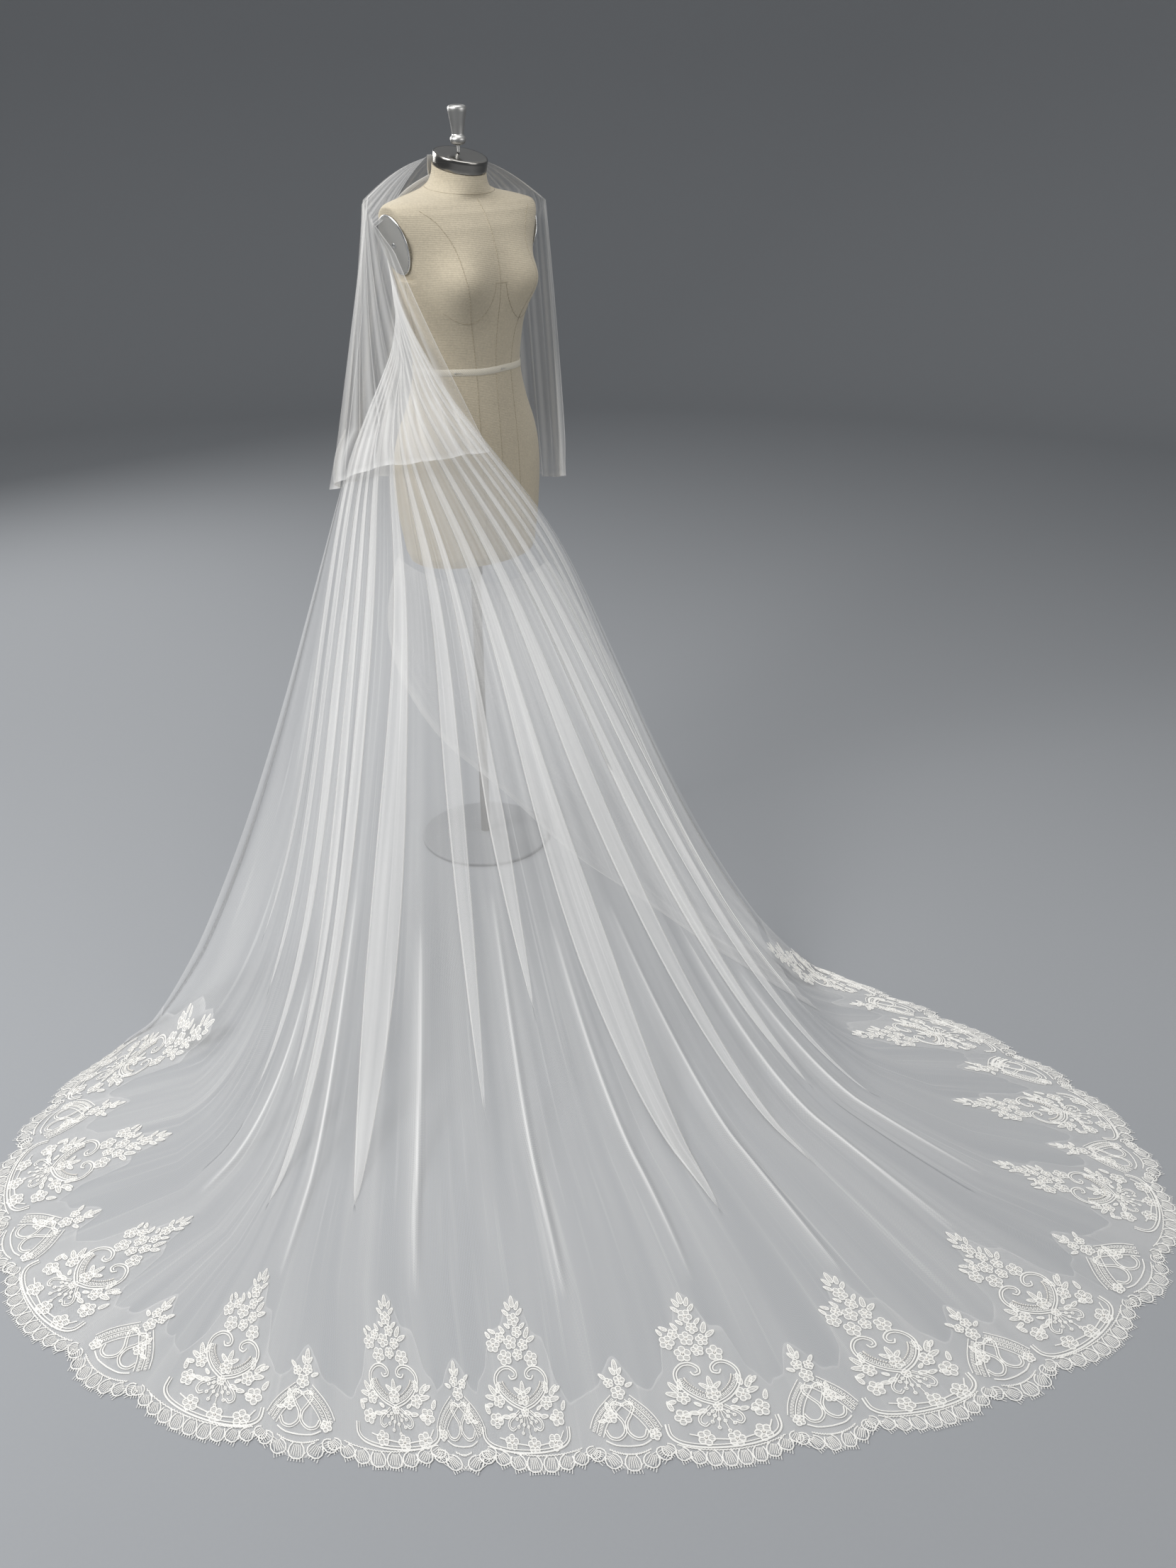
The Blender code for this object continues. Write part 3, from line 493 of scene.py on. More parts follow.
def tulle_finish(name, cloth, hole, thread, cell_scale=1.0):
    """Soft nylon tulle, bobbinet woven: hexagonal holes, with threads that catch the light."""
    # Nylon is a clear white with a faint sheen, so layers and fold edges read whiter
    made, tree, shader = finish_named(
        name, cloth.tulle_colour, 0.55, Sheen_Weight=0.35, Sheen_Roughness=0.4, IOR=1.53
    )
    # Real cells are about 1.2 mm; drawn at the named size, so that they show in the render
    threads = net_threads(tree, cloth.net_cell * cell_scale)
    place = node(tree, "ShaderNodeUVMap", uv_map="cloth").outputs[0]
    # Long soft streaks where the cloth was gathered, 45 mm across and about 1 m long
    stretched = node(
        tree, "ShaderNodeVectorMath", {0: place, 1: (22.0, 1.1, 0.0)}, operation="MULTIPLY"
    )
    streaks = node(
        tree, "ShaderNodeTexNoise", {"Vector": stretched.outputs[0], "Scale": 1.0, "Detail": 2.0}
    )
    # Thin crease lines between them, 12 mm across
    drawn = node(
        tree, "ShaderNodeVectorMath", {0: place, 1: (85.0, 1.6, 0.0)}, operation="MULTIPLY"
    )
    lines = node(
        tree, "ShaderNodeTexNoise", {"Vector": drawn.outputs[0], "Scale": 1.0, "Detail": 1.0}
    )
    thin = ramp(tree, lines.outputs["Fac"], 0.60, 0.78, 0.0, 0.13)
    soft = maths(tree, "ADD", ramp(tree, streaks.outputs["Fac"], 0.35, 0.75, -0.05, 0.09), thin)
    fold = node(tree, "ShaderNodeAttribute", attribute_name="fold").outputs["Fac"]
    edge = maths(tree, "MULTIPLY", fold, cloth.fold_cover)
    cover = maths(tree, "ADD", ramp(tree, threads, 0.0, 1.0, hole, thread), soft)
    node_alpha = node(
        tree, "ShaderNodeMath", {0: cover, 1: edge}, operation="ADD", use_clamp=True
    )
    tree.links.new(node_alpha.outputs[0], shader.inputs["Alpha"])
    bumped(tree, shader, threads, 0.0003, 0.3)
    return made


def cord_finish(cloth):
    """Viscose embroidery thread, satin stitched over a cord: an even silky white with fine stripes."""
    made, tree, shader = finish_named(
        "viscose_thread_satin_stitched", cloth.lace_colour, 0.42, Sheen_Weight=0.25,
        Sheen_Roughness=0.35, IOR=1.5,
    )
    place = node(tree, "ShaderNodeUVMap", uv_map="cloth").outputs[0]
    # Stitches lie 0.35 mm apart, drawn 1.1 mm apart so that they show
    wave = node(
        tree, "ShaderNodeTexWave", {"Vector": place, "Scale": 145.0, "Distortion": 1.2},
        bands_direction="DIAGONAL",
    )
    patches = node(tree, "ShaderNodeTexNoise", {"Vector": place, "Scale": 90.0, "Detail": 2.0})
    light = tuple(cloth.lace_colour)
    share = maths(tree, "MULTIPLY", wave.outputs["Fac"], patches.outputs["Fac"])
    colour = mixed(tree, share, tuple(c * 0.86 for c in light), light)
    tree.links.new(colour, shader.inputs["Base Color"])
    bumped(tree, shader, wave.outputs["Fac"], 0.0004, 0.7)
    return made


def fill_finish(cloth):
    """Tatami-stitched fill inside petals, leaves and lobes: thinner thread, so the net shows through."""
    made, tree, shader = finish_named(
        "viscose_thread_tatami_fill", cloth.lace_colour, 0.55, Sheen_Weight=0.2, IOR=1.5
    )
    place = node(tree, "ShaderNodeUVMap", uv_map="cloth").outputs[0]
    wave = node(
        tree, "ShaderNodeTexWave", {"Vector": place, "Scale": 120.0, "Distortion": 2.0},
        bands_direction="Y",
    )
    cover = ramp(tree, wave.outputs["Fac"], 0.2, 0.8, 0.16, 0.62)
    tree.links.new(cover, shader.inputs["Alpha"])
    bumped(tree, shader, wave.outputs["Fac"], 0.0003, 0.5)
    return made


def bead_finish(cloth):
    """Pearlised acrylic seed beads, moulded: small sharp highlights on a warm white."""
    made, tree, shader = finish_named(
        "acrylic_seed_bead_moulded", srgb("#F3EFE8"), 0.16, Coat_Weight=0.6, Coat_Roughness=0.08,
        IOR=1.49,
    )
    layer = node(tree, "ShaderNodeTexNoise", {"Scale": 400.0})
    tree.links.new(ramp(tree, layer.outputs["Fac"], 0.3, 0.7, 0.10, 0.24), shader.inputs["Roughness"])
    return made


def jersey_finish(form):
    """Cotton-linen jersey, knitted and pulled tight over padding: a dull warm beige, finely ribbed."""
    made, tree, shader = finish_named(
        "linen_jersey_knitted", form.cover_colour, 0.88, Sheen_Weight=0.15, IOR=1.5,
        Specular_IOR_Level=0.3,
    )
    place = node(tree, "ShaderNodeTexCoord").outputs["Object"]
    # Knit wales stand 0.8 mm apart, drawn 1.6 mm apart so that they show
    wales = node(
        tree, "ShaderNodeTexWave", {"Vector": place, "Scale": 100.0, "Distortion": 1.5},
        bands_direction="Z",
    )
    slubs = node(tree, "ShaderNodeTexNoise", {"Vector": place, "Scale": 260.0, "Detail": 4.0})
    soiling = node(tree, "ShaderNodeTexNoise", {"Vector": place, "Scale": 7.0, "Detail": 3.0})
    base = np.array(form.cover_colour)
    share = maths(
        tree, "ADD", maths(tree, "MULTIPLY", slubs.outputs["Fac"], 0.6),
        maths(tree, "MULTIPLY", soiling.outputs["Fac"], 0.4),
    )
    colour = mixed(tree, ramp(tree, share, 0.3, 0.7), tuple(base * 0.84), tuple(np.minimum(base * 1.1, 1)))
    tree.links.new(colour, shader.inputs["Base Color"])
    height = maths(tree, "ADD", wales.outputs["Fac"], slubs.outputs["Fac"])
    bumped(tree, shader, height, 0.0004, 0.5)
    return made


def tape_finish():
    """Cotton twill tape, woven: matt white with a fine diagonal."""
    made, tree, shader = finish_named(
        "cotton_tape_twill_woven", srgb("#D8D0BF"), 0.85, Sheen_Weight=0.1, IOR=1.5
    )
    place = node(tree, "ShaderNodeUVMap", uv_map="cloth").outputs[0]
    # Twill lines stand 0.5 mm apart, drawn 1.2 mm apart so that they show
    twill = node(
        tree, "ShaderNodeTexWave", {"Vector": place, "Scale": 130.0}, bands_direction="DIAGONAL"
    )
    colour = mixed(tree, twill.outputs["Fac"], srgb("#CFC7B5"), srgb("#DED7C8"))
    tree.links.new(colour, shader.inputs["Base Color"])
    bumped(tree, shader, twill.outputs["Fac"], 0.0003)
    return made


def thread_finish():
    """Polyester sewing thread, corespun: a slightly darker, matt line along each seam."""
    made, tree, shader = finish_named(
        "polyester_thread_corespun", srgb("#AFA48D"), 0.8, Sheen_Weight=0.1, IOR=1.55
    )
    place = node(tree, "ShaderNodeTexCoord").outputs["Object"]
    # Stitches are 3 mm long
    stitches = node(
        tree, "ShaderNodeTexWave", {"Vector": place, "Scale": 52.0}, bands_direction="Z"
    )
    colour = mixed(tree, stitches.outputs["Fac"], srgb("#9F947E"), srgb("#B8AD97"))
    tree.links.new(colour, shader.inputs["Base Color"])
    bumped(tree, shader, stitches.outputs["Fac"], 0.0004)
    return made


def steel_finish(name, colour, low=0.20, high=0.42):
    """Steel, brushed on a lathe: long soft highlights across a satin grey."""
    middle = (low + high) / 2
    made, tree, shader = finish_named(name, colour, middle, Metallic=1.0, Anisotropic=0.5)
    place = node(tree, "ShaderNodeTexCoord").outputs["Object"]
    # Brush lines from 180 grit, about 0.1 mm apart, drawn 0.6 mm apart so that they show
    spread = node(
        tree, "ShaderNodeVectorMath", {0: place, 1: (3.0, 3.0, 1600.0)}, operation="MULTIPLY"
    )
    lines = node(
        tree, "ShaderNodeTexNoise", {"Vector": spread.outputs[0], "Scale": 1.0, "Detail": 3.0}
    )
    rough = ramp(tree, lines.outputs["Fac"], 0.3, 0.7, low, high)
    tree.links.new(rough, shader.inputs["Roughness"])
    base = np.array(colour)
    shade = mixed(tree, lines.outputs["Fac"], tuple(base * 0.86), tuple(np.minimum(base * 1.1, 1)))
    tree.links.new(shade, shader.inputs["Base Color"])
    bumped(tree, shader, lines.outputs["Fac"], 0.000004, 0.2)
    return made


def enamel_finish():
    """Baked enamel, sprayed on steel plate: a satin pale grey with a slight orange peel."""
    made, tree, shader = finish_named(
        "steel_plate_enamelled", srgb("#85878A"), 0.6, IOR=1.5
    )
    place = node(tree, "ShaderNodeTexCoord").outputs["Object"]
    # Orange peel is 1.5 mm across
    peel = node(tree, "ShaderNodeTexNoise", {"Vector": place, "Scale": 650.0, "Detail": 1.0})
    rough = ramp(tree, peel.outputs["Fac"], 0.3, 0.7, 0.52, 0.66)
    tree.links.new(rough, shader.inputs["Roughness"])
    bumped(tree, shader, peel.outputs["Fac"], 0.0001, 0.3)
    return made


def acrylic_finish():
    """Cast acrylic sheet, flame polished: clear, with a faint grey edge and fine scratches."""
    made, tree, shader = finish_named(
        "acrylic_sheet_cast", srgb("#CECDC9"), 0.08, IOR=1.49, Transmission_Weight=0.55
    )
    place = node(tree, "ShaderNodeTexCoord").outputs["Object"]
    marks = node(tree, "ShaderNodeTexNoise", {"Vector": place, "Scale": 180.0, "Detail": 6.0})
    rough = ramp(tree, marks.outputs["Fac"], 0.45, 0.75, 0.05, 0.25)
    tree.links.new(rough, shader.inputs["Roughness"])
    return made


def paper_finish(stage):
    """Seamless background paper, matt coated: an even pale grey with a trace of fibre."""
    made, tree, shader = finish_named(
        "background_paper_matt", stage.floor_colour, 0.9, IOR=1.5, Specular_IOR_Level=0.2
    )
    place = node(tree, "ShaderNodeTexCoord").outputs["Object"]
    fibre = node(tree, "ShaderNodeTexNoise", {"Vector": place, "Scale": 160.0, "Detail": 3.0})
    base = np.array(stage.floor_colour)
    colour = mixed(tree, fibre.outputs["Fac"], tuple(base * 0.985), tuple(base * 1.015))
    tree.links.new(colour, shader.inputs["Base Color"])
    bumped(tree, shader, fibre.outputs["Fac"], 0.0001, 0.2)
    return made


def torso_radius(z, angle):
    """The torso's radius at a height, at an angle from its front towards its left."""
    z = np.clip(z, TORSO[1][0], TORSO[-1][0])
    half = curve(TORSO, "half", z)
    deep = np.where(np.cos(angle) > 0, curve(TORSO, "front", z), curve(TORSO, "back", z))
    radius = 1 / np.hypot(np.sin(angle) / half, np.cos(angle) / deep)
    for side in (-1, 1):
        across = (angle - side * BUST_ANGLE) / BUST_SPREAD
        height = (z - BUST_Z) / BUST_HEIGHT
        radius = radius + BUST_SWELL * np.exp(-(across**2) - height**2)
    return radius


def form_radius(z, degrees):
    """The torso's radius at a height, in a world direction from -Y towards +X."""
    angle = np.radians(degrees) - FORM_TURN
    return torso_radius(z, np.arctan2(np.sin(angle), np.cos(angle)))


def torso_place(z, angle, out=0.0):
    """Points on the torso's surface in the world, a distance out from it."""
    z, angle = np.broadcast_arrays(np.asarray(z, float), np.asarray(angle, float))
    radius = torso_radius(z, angle)
    x, y = radius * np.sin(angle), -radius * np.cos(angle)
    share = (z - ARMHOLE_FOOT_Z) / (ARMHOLE_TOP_Z - ARMHOLE_FOOT_Z)
    flat = lerp(ARMHOLE_FOOT_X, ARMHOLE_TOP_X, share)
    x = np.where((share > 0) & (share < 1), np.clip(x, -flat, flat), x)
    swell = 1 + out / np.maximum(np.hypot(x, y), 0.01)
    x, y = x * swell, y * swell
    z = z + y * math.tan(NECK_TILT) * curve(TORSO, "tilt", z)
    c, s = math.cos(FORM_TURN), math.sin(FORM_TURN)
    return np.stack([x * c - y * s, x * s + y * c, z], -1)


def hem_line():
    """The hem's line as points, and the length to each."""
    degrees = np.linspace(HEM[1][0], HEM[-1][0], 421)
    points = HEM_MIDDLE + direction(degrees) * curve(HEM, "radius", degrees)[:, None]
    steps = np.linalg.norm(np.diff(points, axis=0), axis=1)
    return points, np.concatenate([[0.0], np.cumsum(steps)])


HEM_POINTS, HEM_LENGTHS = hem_line()
HEM_LENGTH = HEM_LENGTHS[-1]


def hem_at(s):
    """Points at lengths along the hem."""
    return np.stack([np.interp(s, HEM_LENGTHS, HEM_POINTS[:, k]) for k in (0, 1)], -1)


def scallop_ends():
    """Where the scallops of the edge begin and end along the hem."""
    ends = [MOTIFS[0] - 0.085]
    for left, right in zip(MOTIFS, MOTIFS[1:]):
        third = (right - left) * 0.33
        ends += [left + third, right - third]
    return ends + [MOTIFS[-1] + 0.085]


def scallop(s):
    """How far the scalloped edge stands inside the hem's line."""
    s = np.asarray(s, float)
    depth = np.full(s.shape, SCALLOP_DEPTH * 0.7)
    ends = scallop_ends()
    for start, end in zip(ends, ends[1:]):
        t = np.clip((s - start) / (end - start), 0, 1)
        arc = SCALLOP_DEPTH * (1 - np.maximum(np.sin(math.pi * t), 0.0) ** 0.6)
        depth = np.where((s >= start) & (s <= end), arc, depth)
    return depth


def hip(u):
    """Where threads of the long tier leave the hip."""
    level = direction(curve(THREADS, "degrees", u)) * curve(THREADS, "radius", u)[..., None]
    return np.concatenate([level, curve(THREADS, "z", u)[..., None]], -1)


def train(u, share=1.0, depth=None):
    """Points of the train without its pleats, at a share of the way from the hip to the border.

    A depth in from the hem's line takes the place of the share within the border.
    """
    start = hip(u)
    s = u * HEM_LENGTH
    width = curve(AXES, "width", s)[..., None]
    axis = direction(curve(AXES, "degrees", s))
    straight = hem_at(s) - axis * width - start[..., :2]
    run = np.linalg.norm(straight, axis=-1, keepdims=True)
    if depth is None:
        bend = unit(lerp(straight, axis * run, THREAD_BEND)) * run - straight
        level = start[..., :2] + straight * share + bend * (share**3 - share**2)
        gone = share * run / (run + width)
    else:
        depth = np.asarray(depth, float)[..., None]
        level = hem_at(s) - axis * depth
        gone = (run + width - depth) / (run + width)
    left = np.maximum(1 - gone / curve(THREADS, "touch", u)[..., None], 0.0)
    z = start[..., 2:] * left ** curve(THREADS, "sag", u)[..., None]
    return np.concatenate([level, z], -1)


def wrap(u, share):
    """Degrees, radius and height of threads between the gather at the armhole and the hip."""
    end = hip(u)
    z = lerp(GATHER_Z, end[..., 2], share)
    end_degrees = curve(THREADS, "degrees", u)
    degrees = lerp(lerp(*GATHER_DEGREES, u), end_degrees, np.maximum(share, 0.0) ** 1.15)
    spare = np.hypot(end[..., 0], end[..., 1]) - form_radius(end[..., 2], end_degrees) - LONG_GAP
    radius = form_radius(z, degrees) + LONG_GAP + spare * smooth(share)
    return degrees, radius, z


def head(u, share):
    """Points of the long tier between the head band and its gather at the armhole."""
    degrees, radius, z = wrap(u, 0.0)
    end = np.concatenate([direction(degrees) * radius[..., None], z[..., None]], -1)
    level = direction(lerp(*HEAD_DEGREES, u)) * HEAD_RADIUS
    start = np.concatenate([level, np.full_like(z, HEAD_Z)[..., None]], -1)
    bow = 0.020 * math.sin(math.pi * min(max(share, 0.0), 1.0))
    out = unit(end[..., :2]) * bow * 0.9
    place = lerp(start, end, share)
    place[..., :2] += out
    place[..., 2] += bow * 0.5
    turn = np.degrees(np.arctan2(place[..., 0], -place[..., 1]))
    clear = form_radius(place[..., 2], turn) + 1.4 * LONG_GAP
    reach = np.maximum(1.0, clear / np.linalg.norm(place[..., :2], axis=-1))
    place[..., :2] *= reach[..., None]
    return place


def long_tier(u, v):
    """Points of the long tier: v runs -2 at the head, -1 at the gather, 0 at the hip, 1 to 2 in
    the lace border."""
    u = np.clip(u, 0.0, 1.0)
    if v < -1:
        return head(u, v + 2)
    if v < 0:
        degrees, radius, z = wrap(u, v + 1)
        return np.concatenate([direction(degrees) * radius[..., None], z[..., None]], -1)
    if v <= 1:
        return train(u, v)
    s = u * HEM_LENGTH
    return train(u, depth=lerp(curve(AXES, "width", s), scallop(s), v - 1))


def outward_normal(place, across, down):
    """Unit normals that point up and away from the form."""
    normal = unit(np.cross(across, down))
    away = np.concatenate([unit(place[..., :2]), np.ones_like(place[..., :1])], -1)
    facing = np.sign(np.sum(normal * away, -1, keepdims=True))
    return normal * np.where(facing == 0, 1, facing)


def thread_columns():
    """Every drawn thread of the long tier, as its place and how a pleat's folds shift it.

    A pleat goes over, back and over again, so that three layers lie on one another. The columns
    are: pleat, place, shift by the pleat's half width, shift by a fold's own edge, its layer, and
    whether it is a fold.
    """
    pleats = rows_of(PLEATS)
    middles = [p["u"] for p in pleats]
    ends = [0.0] + [(a + b) / 2 for a, b in zip(middles, middles[1:])] + [1.0]
    ridges = [r["u"] for r in rows_of(RIDGES)]
    room = [0.70 if any(abs(e - r) < 0.012 for r in ridges) else 0.88 for e in ends]
    made, reach = [], []
    for i, c in enumerate(middles):
        left, right = room[i] * (c - ends[i]), room[i + 1] * (ends[i + 1] - c)
        reach.append(min(left, right))
        for f in np.linspace(0, 1, 7):
            last = f > 0.99
            made.append((i, lerp(c - left, c, f), f, -1.0 if last else 0.0, 0.0, 0.0))
        made.append((i, c, 1.0, 0.0, 0.5, 1.0))
        for f in (0.0, 0.33, 0.67, 1.0):
            shift = -2.0 if f == 0 else 2.0 if f == 1 else 0.0
            made.append((i, c, 1 - 2 * f, shift, 1.0, 0.0))
        made.append((i, c, -1.0, 0.0, 1.5, 1.0))
        for f in np.linspace(0, 1, 10):
            shift = 1.0 if f == 0 else 0.0
            made.append((i, lerp(c, c + right, f), -(1 - f), shift, 2.0, 0.0))
        if i + 1 < len(middles):
            start, stop = c + right, middles[i + 1] - room[i + 1] * (middles[i + 1] - ends[i + 1])
            plain = list(np.linspace(start, stop, 7)[1:-1])
            for ridge in rows_of(RIDGES):
                if start < ridge["u"] < stop:
                    plain = [ridge["u"] + 0.0011 * k for k in range(-8, 9)]
                    plain = [p for p in plain if start + 0.0006 < p < stop - 0.0006]
            made += [(i, p, 0.0, 0.0, 0.0, 0.0) for p in plain]
    first = [(0, 0.0, 0.0, 0.0, 0.0, 0.0), (0, 0.006, 0.0, 0.0, 0.0, 0.0)]
    last = [(len(middles) - 1, p, 0.0, 0.0, 0.0, 0.0) for p in (0.992, 1.0)]
    return np.array(first + made + last), np.array(reach)


def make_long_tier_sheet(cloth):
    """The long tier as one sheet: its points row by row, its cloth coordinates and fold lines."""
    columns, reach = thread_columns()
    which = columns[:, 0].astype(int)
    pleats = np.array(PLEATS[1:], float)[which]
    reach = reach[which]
    heights = list(-2 + np.linspace(0.0, 0.97, 10)) + list(-1 + np.linspace(0.0, 0.97, 28))
    heights += list(np.linspace(0.0, 0.985, 58)) + list(np.linspace(1.0, 2.0, 14))
    points, uvs, folds = [], [], []
    run = np.zeros(len(columns))
    before = None
    for v in heights:
        step = 0.004
        spread = long_tier(pleats[:, 0] + step, v) - long_tier(pleats[:, 0] - step, v)
        spacing = np.linalg.norm(spread, axis=-1) / (2 * step)
        along = max(v, 0.0)
        left = np.clip(1 - (along / pleats[:, 2]) ** 3, 0, 1)
        room = lerp(0.62, 0.94, float(smooth(2.2 * v))) * reach
        band = np.minimum(pleats[:, 1] / 1000 / spacing, room) * left
        opened = smooth((along - pleats[:, 2] + 0.03) / 0.07)
        half = lerp(band, -reach / 3, opened)
        edge = np.minimum(cloth.fold_edge / spacing, 0.3 * np.abs(half))
        signed = np.clip(half * 0.3, -edge, edge)
        u = columns[:, 1] + columns[:, 2] * half
        u = u + np.where(np.abs(columns[:, 3]) > 1.5, columns[:, 3] / 2 * signed, columns[:, 3] * edge)
        plain = long_tier(u, v)
        across = long_tier(u + 0.002, v) - long_tier(u - 0.002, v)
        down = long_tier(u, v + 0.004) - long_tier(u, v - 0.004)
        normal = outward_normal(plain, across, down)
        deep = cloth.pleat_depth * lerp(0.22, 1.0, float(smooth(2.2 * v)))
        raised = np.minimum(deep, 0.35 * np.maximum(half, 0) * spacing)
        rest = smooth((pleats[:, 0] + reach - u) / np.maximum(reach - np.maximum(half, 0), 1e-4))
        layer = np.where(columns[:, 4] > 1.9, 2 * rest, columns[:, 4])
        lift = raised * layer
        shown = smooth(np.maximum(half, 0) / (0.12 * reach)) * smooth((v + 1.9) * 3)
        fold = columns[:, 5] * shown * lerp(0.35, 1.0, float(smooth(2 * v + 0.2)))
        spacing_here = np.linalg.norm(across, axis=-1) / 0.004
        for ridge in rows_of(RIDGES):
            if ridge["start"] < v < ridge["end"]:
                along_ridge = (v - ridge["start"]) / (ridge["end"] - ridge["start"])
                swell = math.sin(math.pi * along_ridge) ** 0.6
                off = (u - ridge["u"]) * spacing_here
                lean = off + 0.003 * math.sin(9 * v + 30 * ridge["u"])
                lift = lift + ridge["rise"] * swell * np.exp(-((lean / 0.009) ** 2))
                fold = fold + swell * (
                    0.50 * np.exp(-((lean / 0.0026) ** 2)) + 0.20 * np.exp(-((lean / 0.014) ** 2))
                )
        # Where the cloth is gathered, it is denser
        fold = fold + 0.17 * (1 - smooth(spacing_here / 1.4)) + 0.22 * (1 - smooth(spacing_here / 0.3))
        # Small slack of the cloth on the floor, which leaves the hem down
        slack = 0.0016 * smooth(3 * v) * smooth(4 - 4 * v)
        lift = lift + slack * (
            1 + np.sin(HEM_LENGTH * u * 47 + 2 * math.sin(3 * v)) * np.cos(5 * v + 21 * u)
        )
        here = plain + normal * (lift + 0.0003)[:, None]
        if before is not None:
            run = run + np.linalg.norm(plain - before, axis=-1)
        before = plain
        points.append(here)
        folds.append(np.clip(fold, 0, 1))
        uvs.append(np.stack([u * HEM_LENGTH, np.full_like(u, np.median(run))], -1))
    points, heights = np.array(points), np.array(heights)
    # The cloth leaves the hip in a soft bend
    near = (smooth((heights + 0.55) / 0.3) * smooth((0.30 - heights) / 0.25))[1:-1, None, None]
    for _ in range(60):
        middle = (points[:-2] + points[2:]) / 2
        points[1:-1] = lerp(points[1:-1], middle, 0.5 * near)
    return points, np.array(uvs), np.array(folds)


def wrap_reach(z, degrees):
    """How far out the wrap stands at heights, in world directions, and 0 where it isn't there."""
    u = np.linspace(0, 1, 25)[None, :]
    share = (GATHER_Z - z[:, None]) / (GATHER_Z - hip(u)[..., 2])
    turns, radii, _ = wrap(u, np.clip(share, 0.0, 1.0))
    reach = np.zeros(len(z))
    for k, seen in enumerate((share >= 0) & (share <= 1.25)):
        if seen.any():
            turn, radius = turns[k][seen], radii[k][seen]
            excess = max(turn[0] - degrees[k], 0) + max(degrees[k] - turn[-1], 0)
            reach[k] = np.interp(degrees[k], turn, radius) - 0.0012 * excess
    return reach


def make_short_tier_sheet(cloth, columns=330, rows=54):
    """The short tier as one sheet, from the head band over the shoulders to its cut edge."""
    w = np.linspace(0, 1, columns)
    place = w * (len(SHORT) - 2)
    end = {name: curve(SHORT, name, place) for name in SHORT[0]}
    wave = 2 * math.pi * SHORT_FOLDS * w + 0.9 * np.sin(7 * w)
    # Folds with sharp crests and broad hollows, and finer ones between them
    fold = np.sin(wave) + 0.28 * np.sin(2 * wave + 0.6)
    fine = 0.5 + 0.5 * np.sin(2 * math.pi * 43 * w + 2.4 * np.sin(9 * w))
    steep = np.abs(np.cos(wave + 0.35 * np.cos(wave))) ** 6
    shares = list(np.linspace(0, SHORT_TURN, 10, endpoint=False))
    shares += list(np.linspace(SHORT_TURN, 1, rows - 10))
    points, uvs, folds = [], [], []
    run, before = np.zeros(columns), None
    for share in shares:
        if share < SHORT_TURN:
            t = share / SHORT_TURN
            neck = direction(lerp(*SHORT_NECK_DEGREES, w)) * SHORT_NECK_RADIUS
            level = lerp(neck, direction(end["turn"]) * end["turn_radius"][:, None], t)
            z = lerp(SHORT_NECK_Z, end["turn_z"], t) + 0.012 * math.sin(math.pi * t)
            level = level + unit(level) * (fold * cloth.short_fold * 0.35 * t)[:, None]
            bright = steep * 0.5 * t
        else:
            t = (share - SHORT_TURN) / (1 - SHORT_TURN)
            bow = t ** lerp(0.88, lerp(1.2, 1.0, smooth(10 * w - 3.5)), smooth(9 * w))
            degrees = lerp(end["turn"], end["degrees"], bow)
            z = lerp(end["turn_z"], end["z"], t)
            depth = cloth.short_fold * (0.35 + 0.65 * t)
            clear = form_radius(z, degrees) + SHORT_GAP
            reach = wrap_reach(z, degrees)
            clear = np.where(reach > 0.05, np.maximum(clear, reach + PLEAT_RISE + LAYER_GAP), clear)
            radius = np.maximum(lerp(end["turn_radius"], end["radius"], t), clear + depth)
            radius = radius + fold * depth * 0.85 + fine * 0.0022 * t
            # The free hem flares a little and waves
            radius = radius + 0.004 * smooth(6 * t - 5) * np.sin(wave / 2 + 1)
            level = direction(degrees) * radius[:, None]
            bright = steep * lerp(0.5, 0.9, t)
        here = np.concatenate([level, np.broadcast_to(z, w.shape)[:, None]], -1)
        if before is not None:
            run = run + np.linalg.norm(here - before, axis=-1)
        before = here
        points.append(here)
        folds.append(np.clip(0.45 * bright + (0.22 if share == shares[-1] else 0.0), 0, 1))
        uvs.append(np.stack([w * 2.4, np.full(columns, np.median(run))], -1))
    points, folds = np.array(points), np.array(folds)
    # The front edge and the back edge are cut, and read as thin lines
    folds[:, 0] = folds[:, -1] = 0.6
    return points, np.array(uvs), folds


def make_folded_sheet(columns=46, rows=110):
    """The layer folded back under the train, from the right fold to its free edge."""
    k = np.linspace(0, 1, columns)
    points, uvs, folds = [], [], []
    for share in np.linspace(0, 1, rows):
        edge = np.array([curve(FAR_EDGE, axis, share * 9) for axis in "xyz"])
        fold = train(np.array([1.0]), lerp(0.13, 0.98, share))[0]
        inside = lerp(0.0006, 0.006, float(smooth(3 * share - 1.35)))
        fold = fold - np.array((inside, inside / 4, inside / 4))
        place = fold + (edge - fold) * k[:, None]
        sink = 1 - (1 - k) ** (1 + 1.6 * float(smooth(4 * share - 2)))
        place[:, 2] = lerp(fold[2], edge[2], sink)
        around = hip(lerp(1.0, 0.30, k))
        around = around * (0.90, 0.90, 1.0) - (0.0, 0.0, 0.085)
        place = lerp(around, place, float(smooth(share * 2.6)))
        ripple = 0.0022 * np.sin(34 * k + 5 * share) * smooth(6 * k) * float(smooth(3 * share))
        place[:, 2] = np.maximum(place[:, 2] + ripple, 0.0003)
        points.append(place)
        uvs.append(np.stack([k * 0.9, np.full(columns, share * 1.6)], -1))
        folds.append(np.where(k > 0.97, 0.6, 0.08))
    return np.array(points), np.array(uvs), np.array(folds)


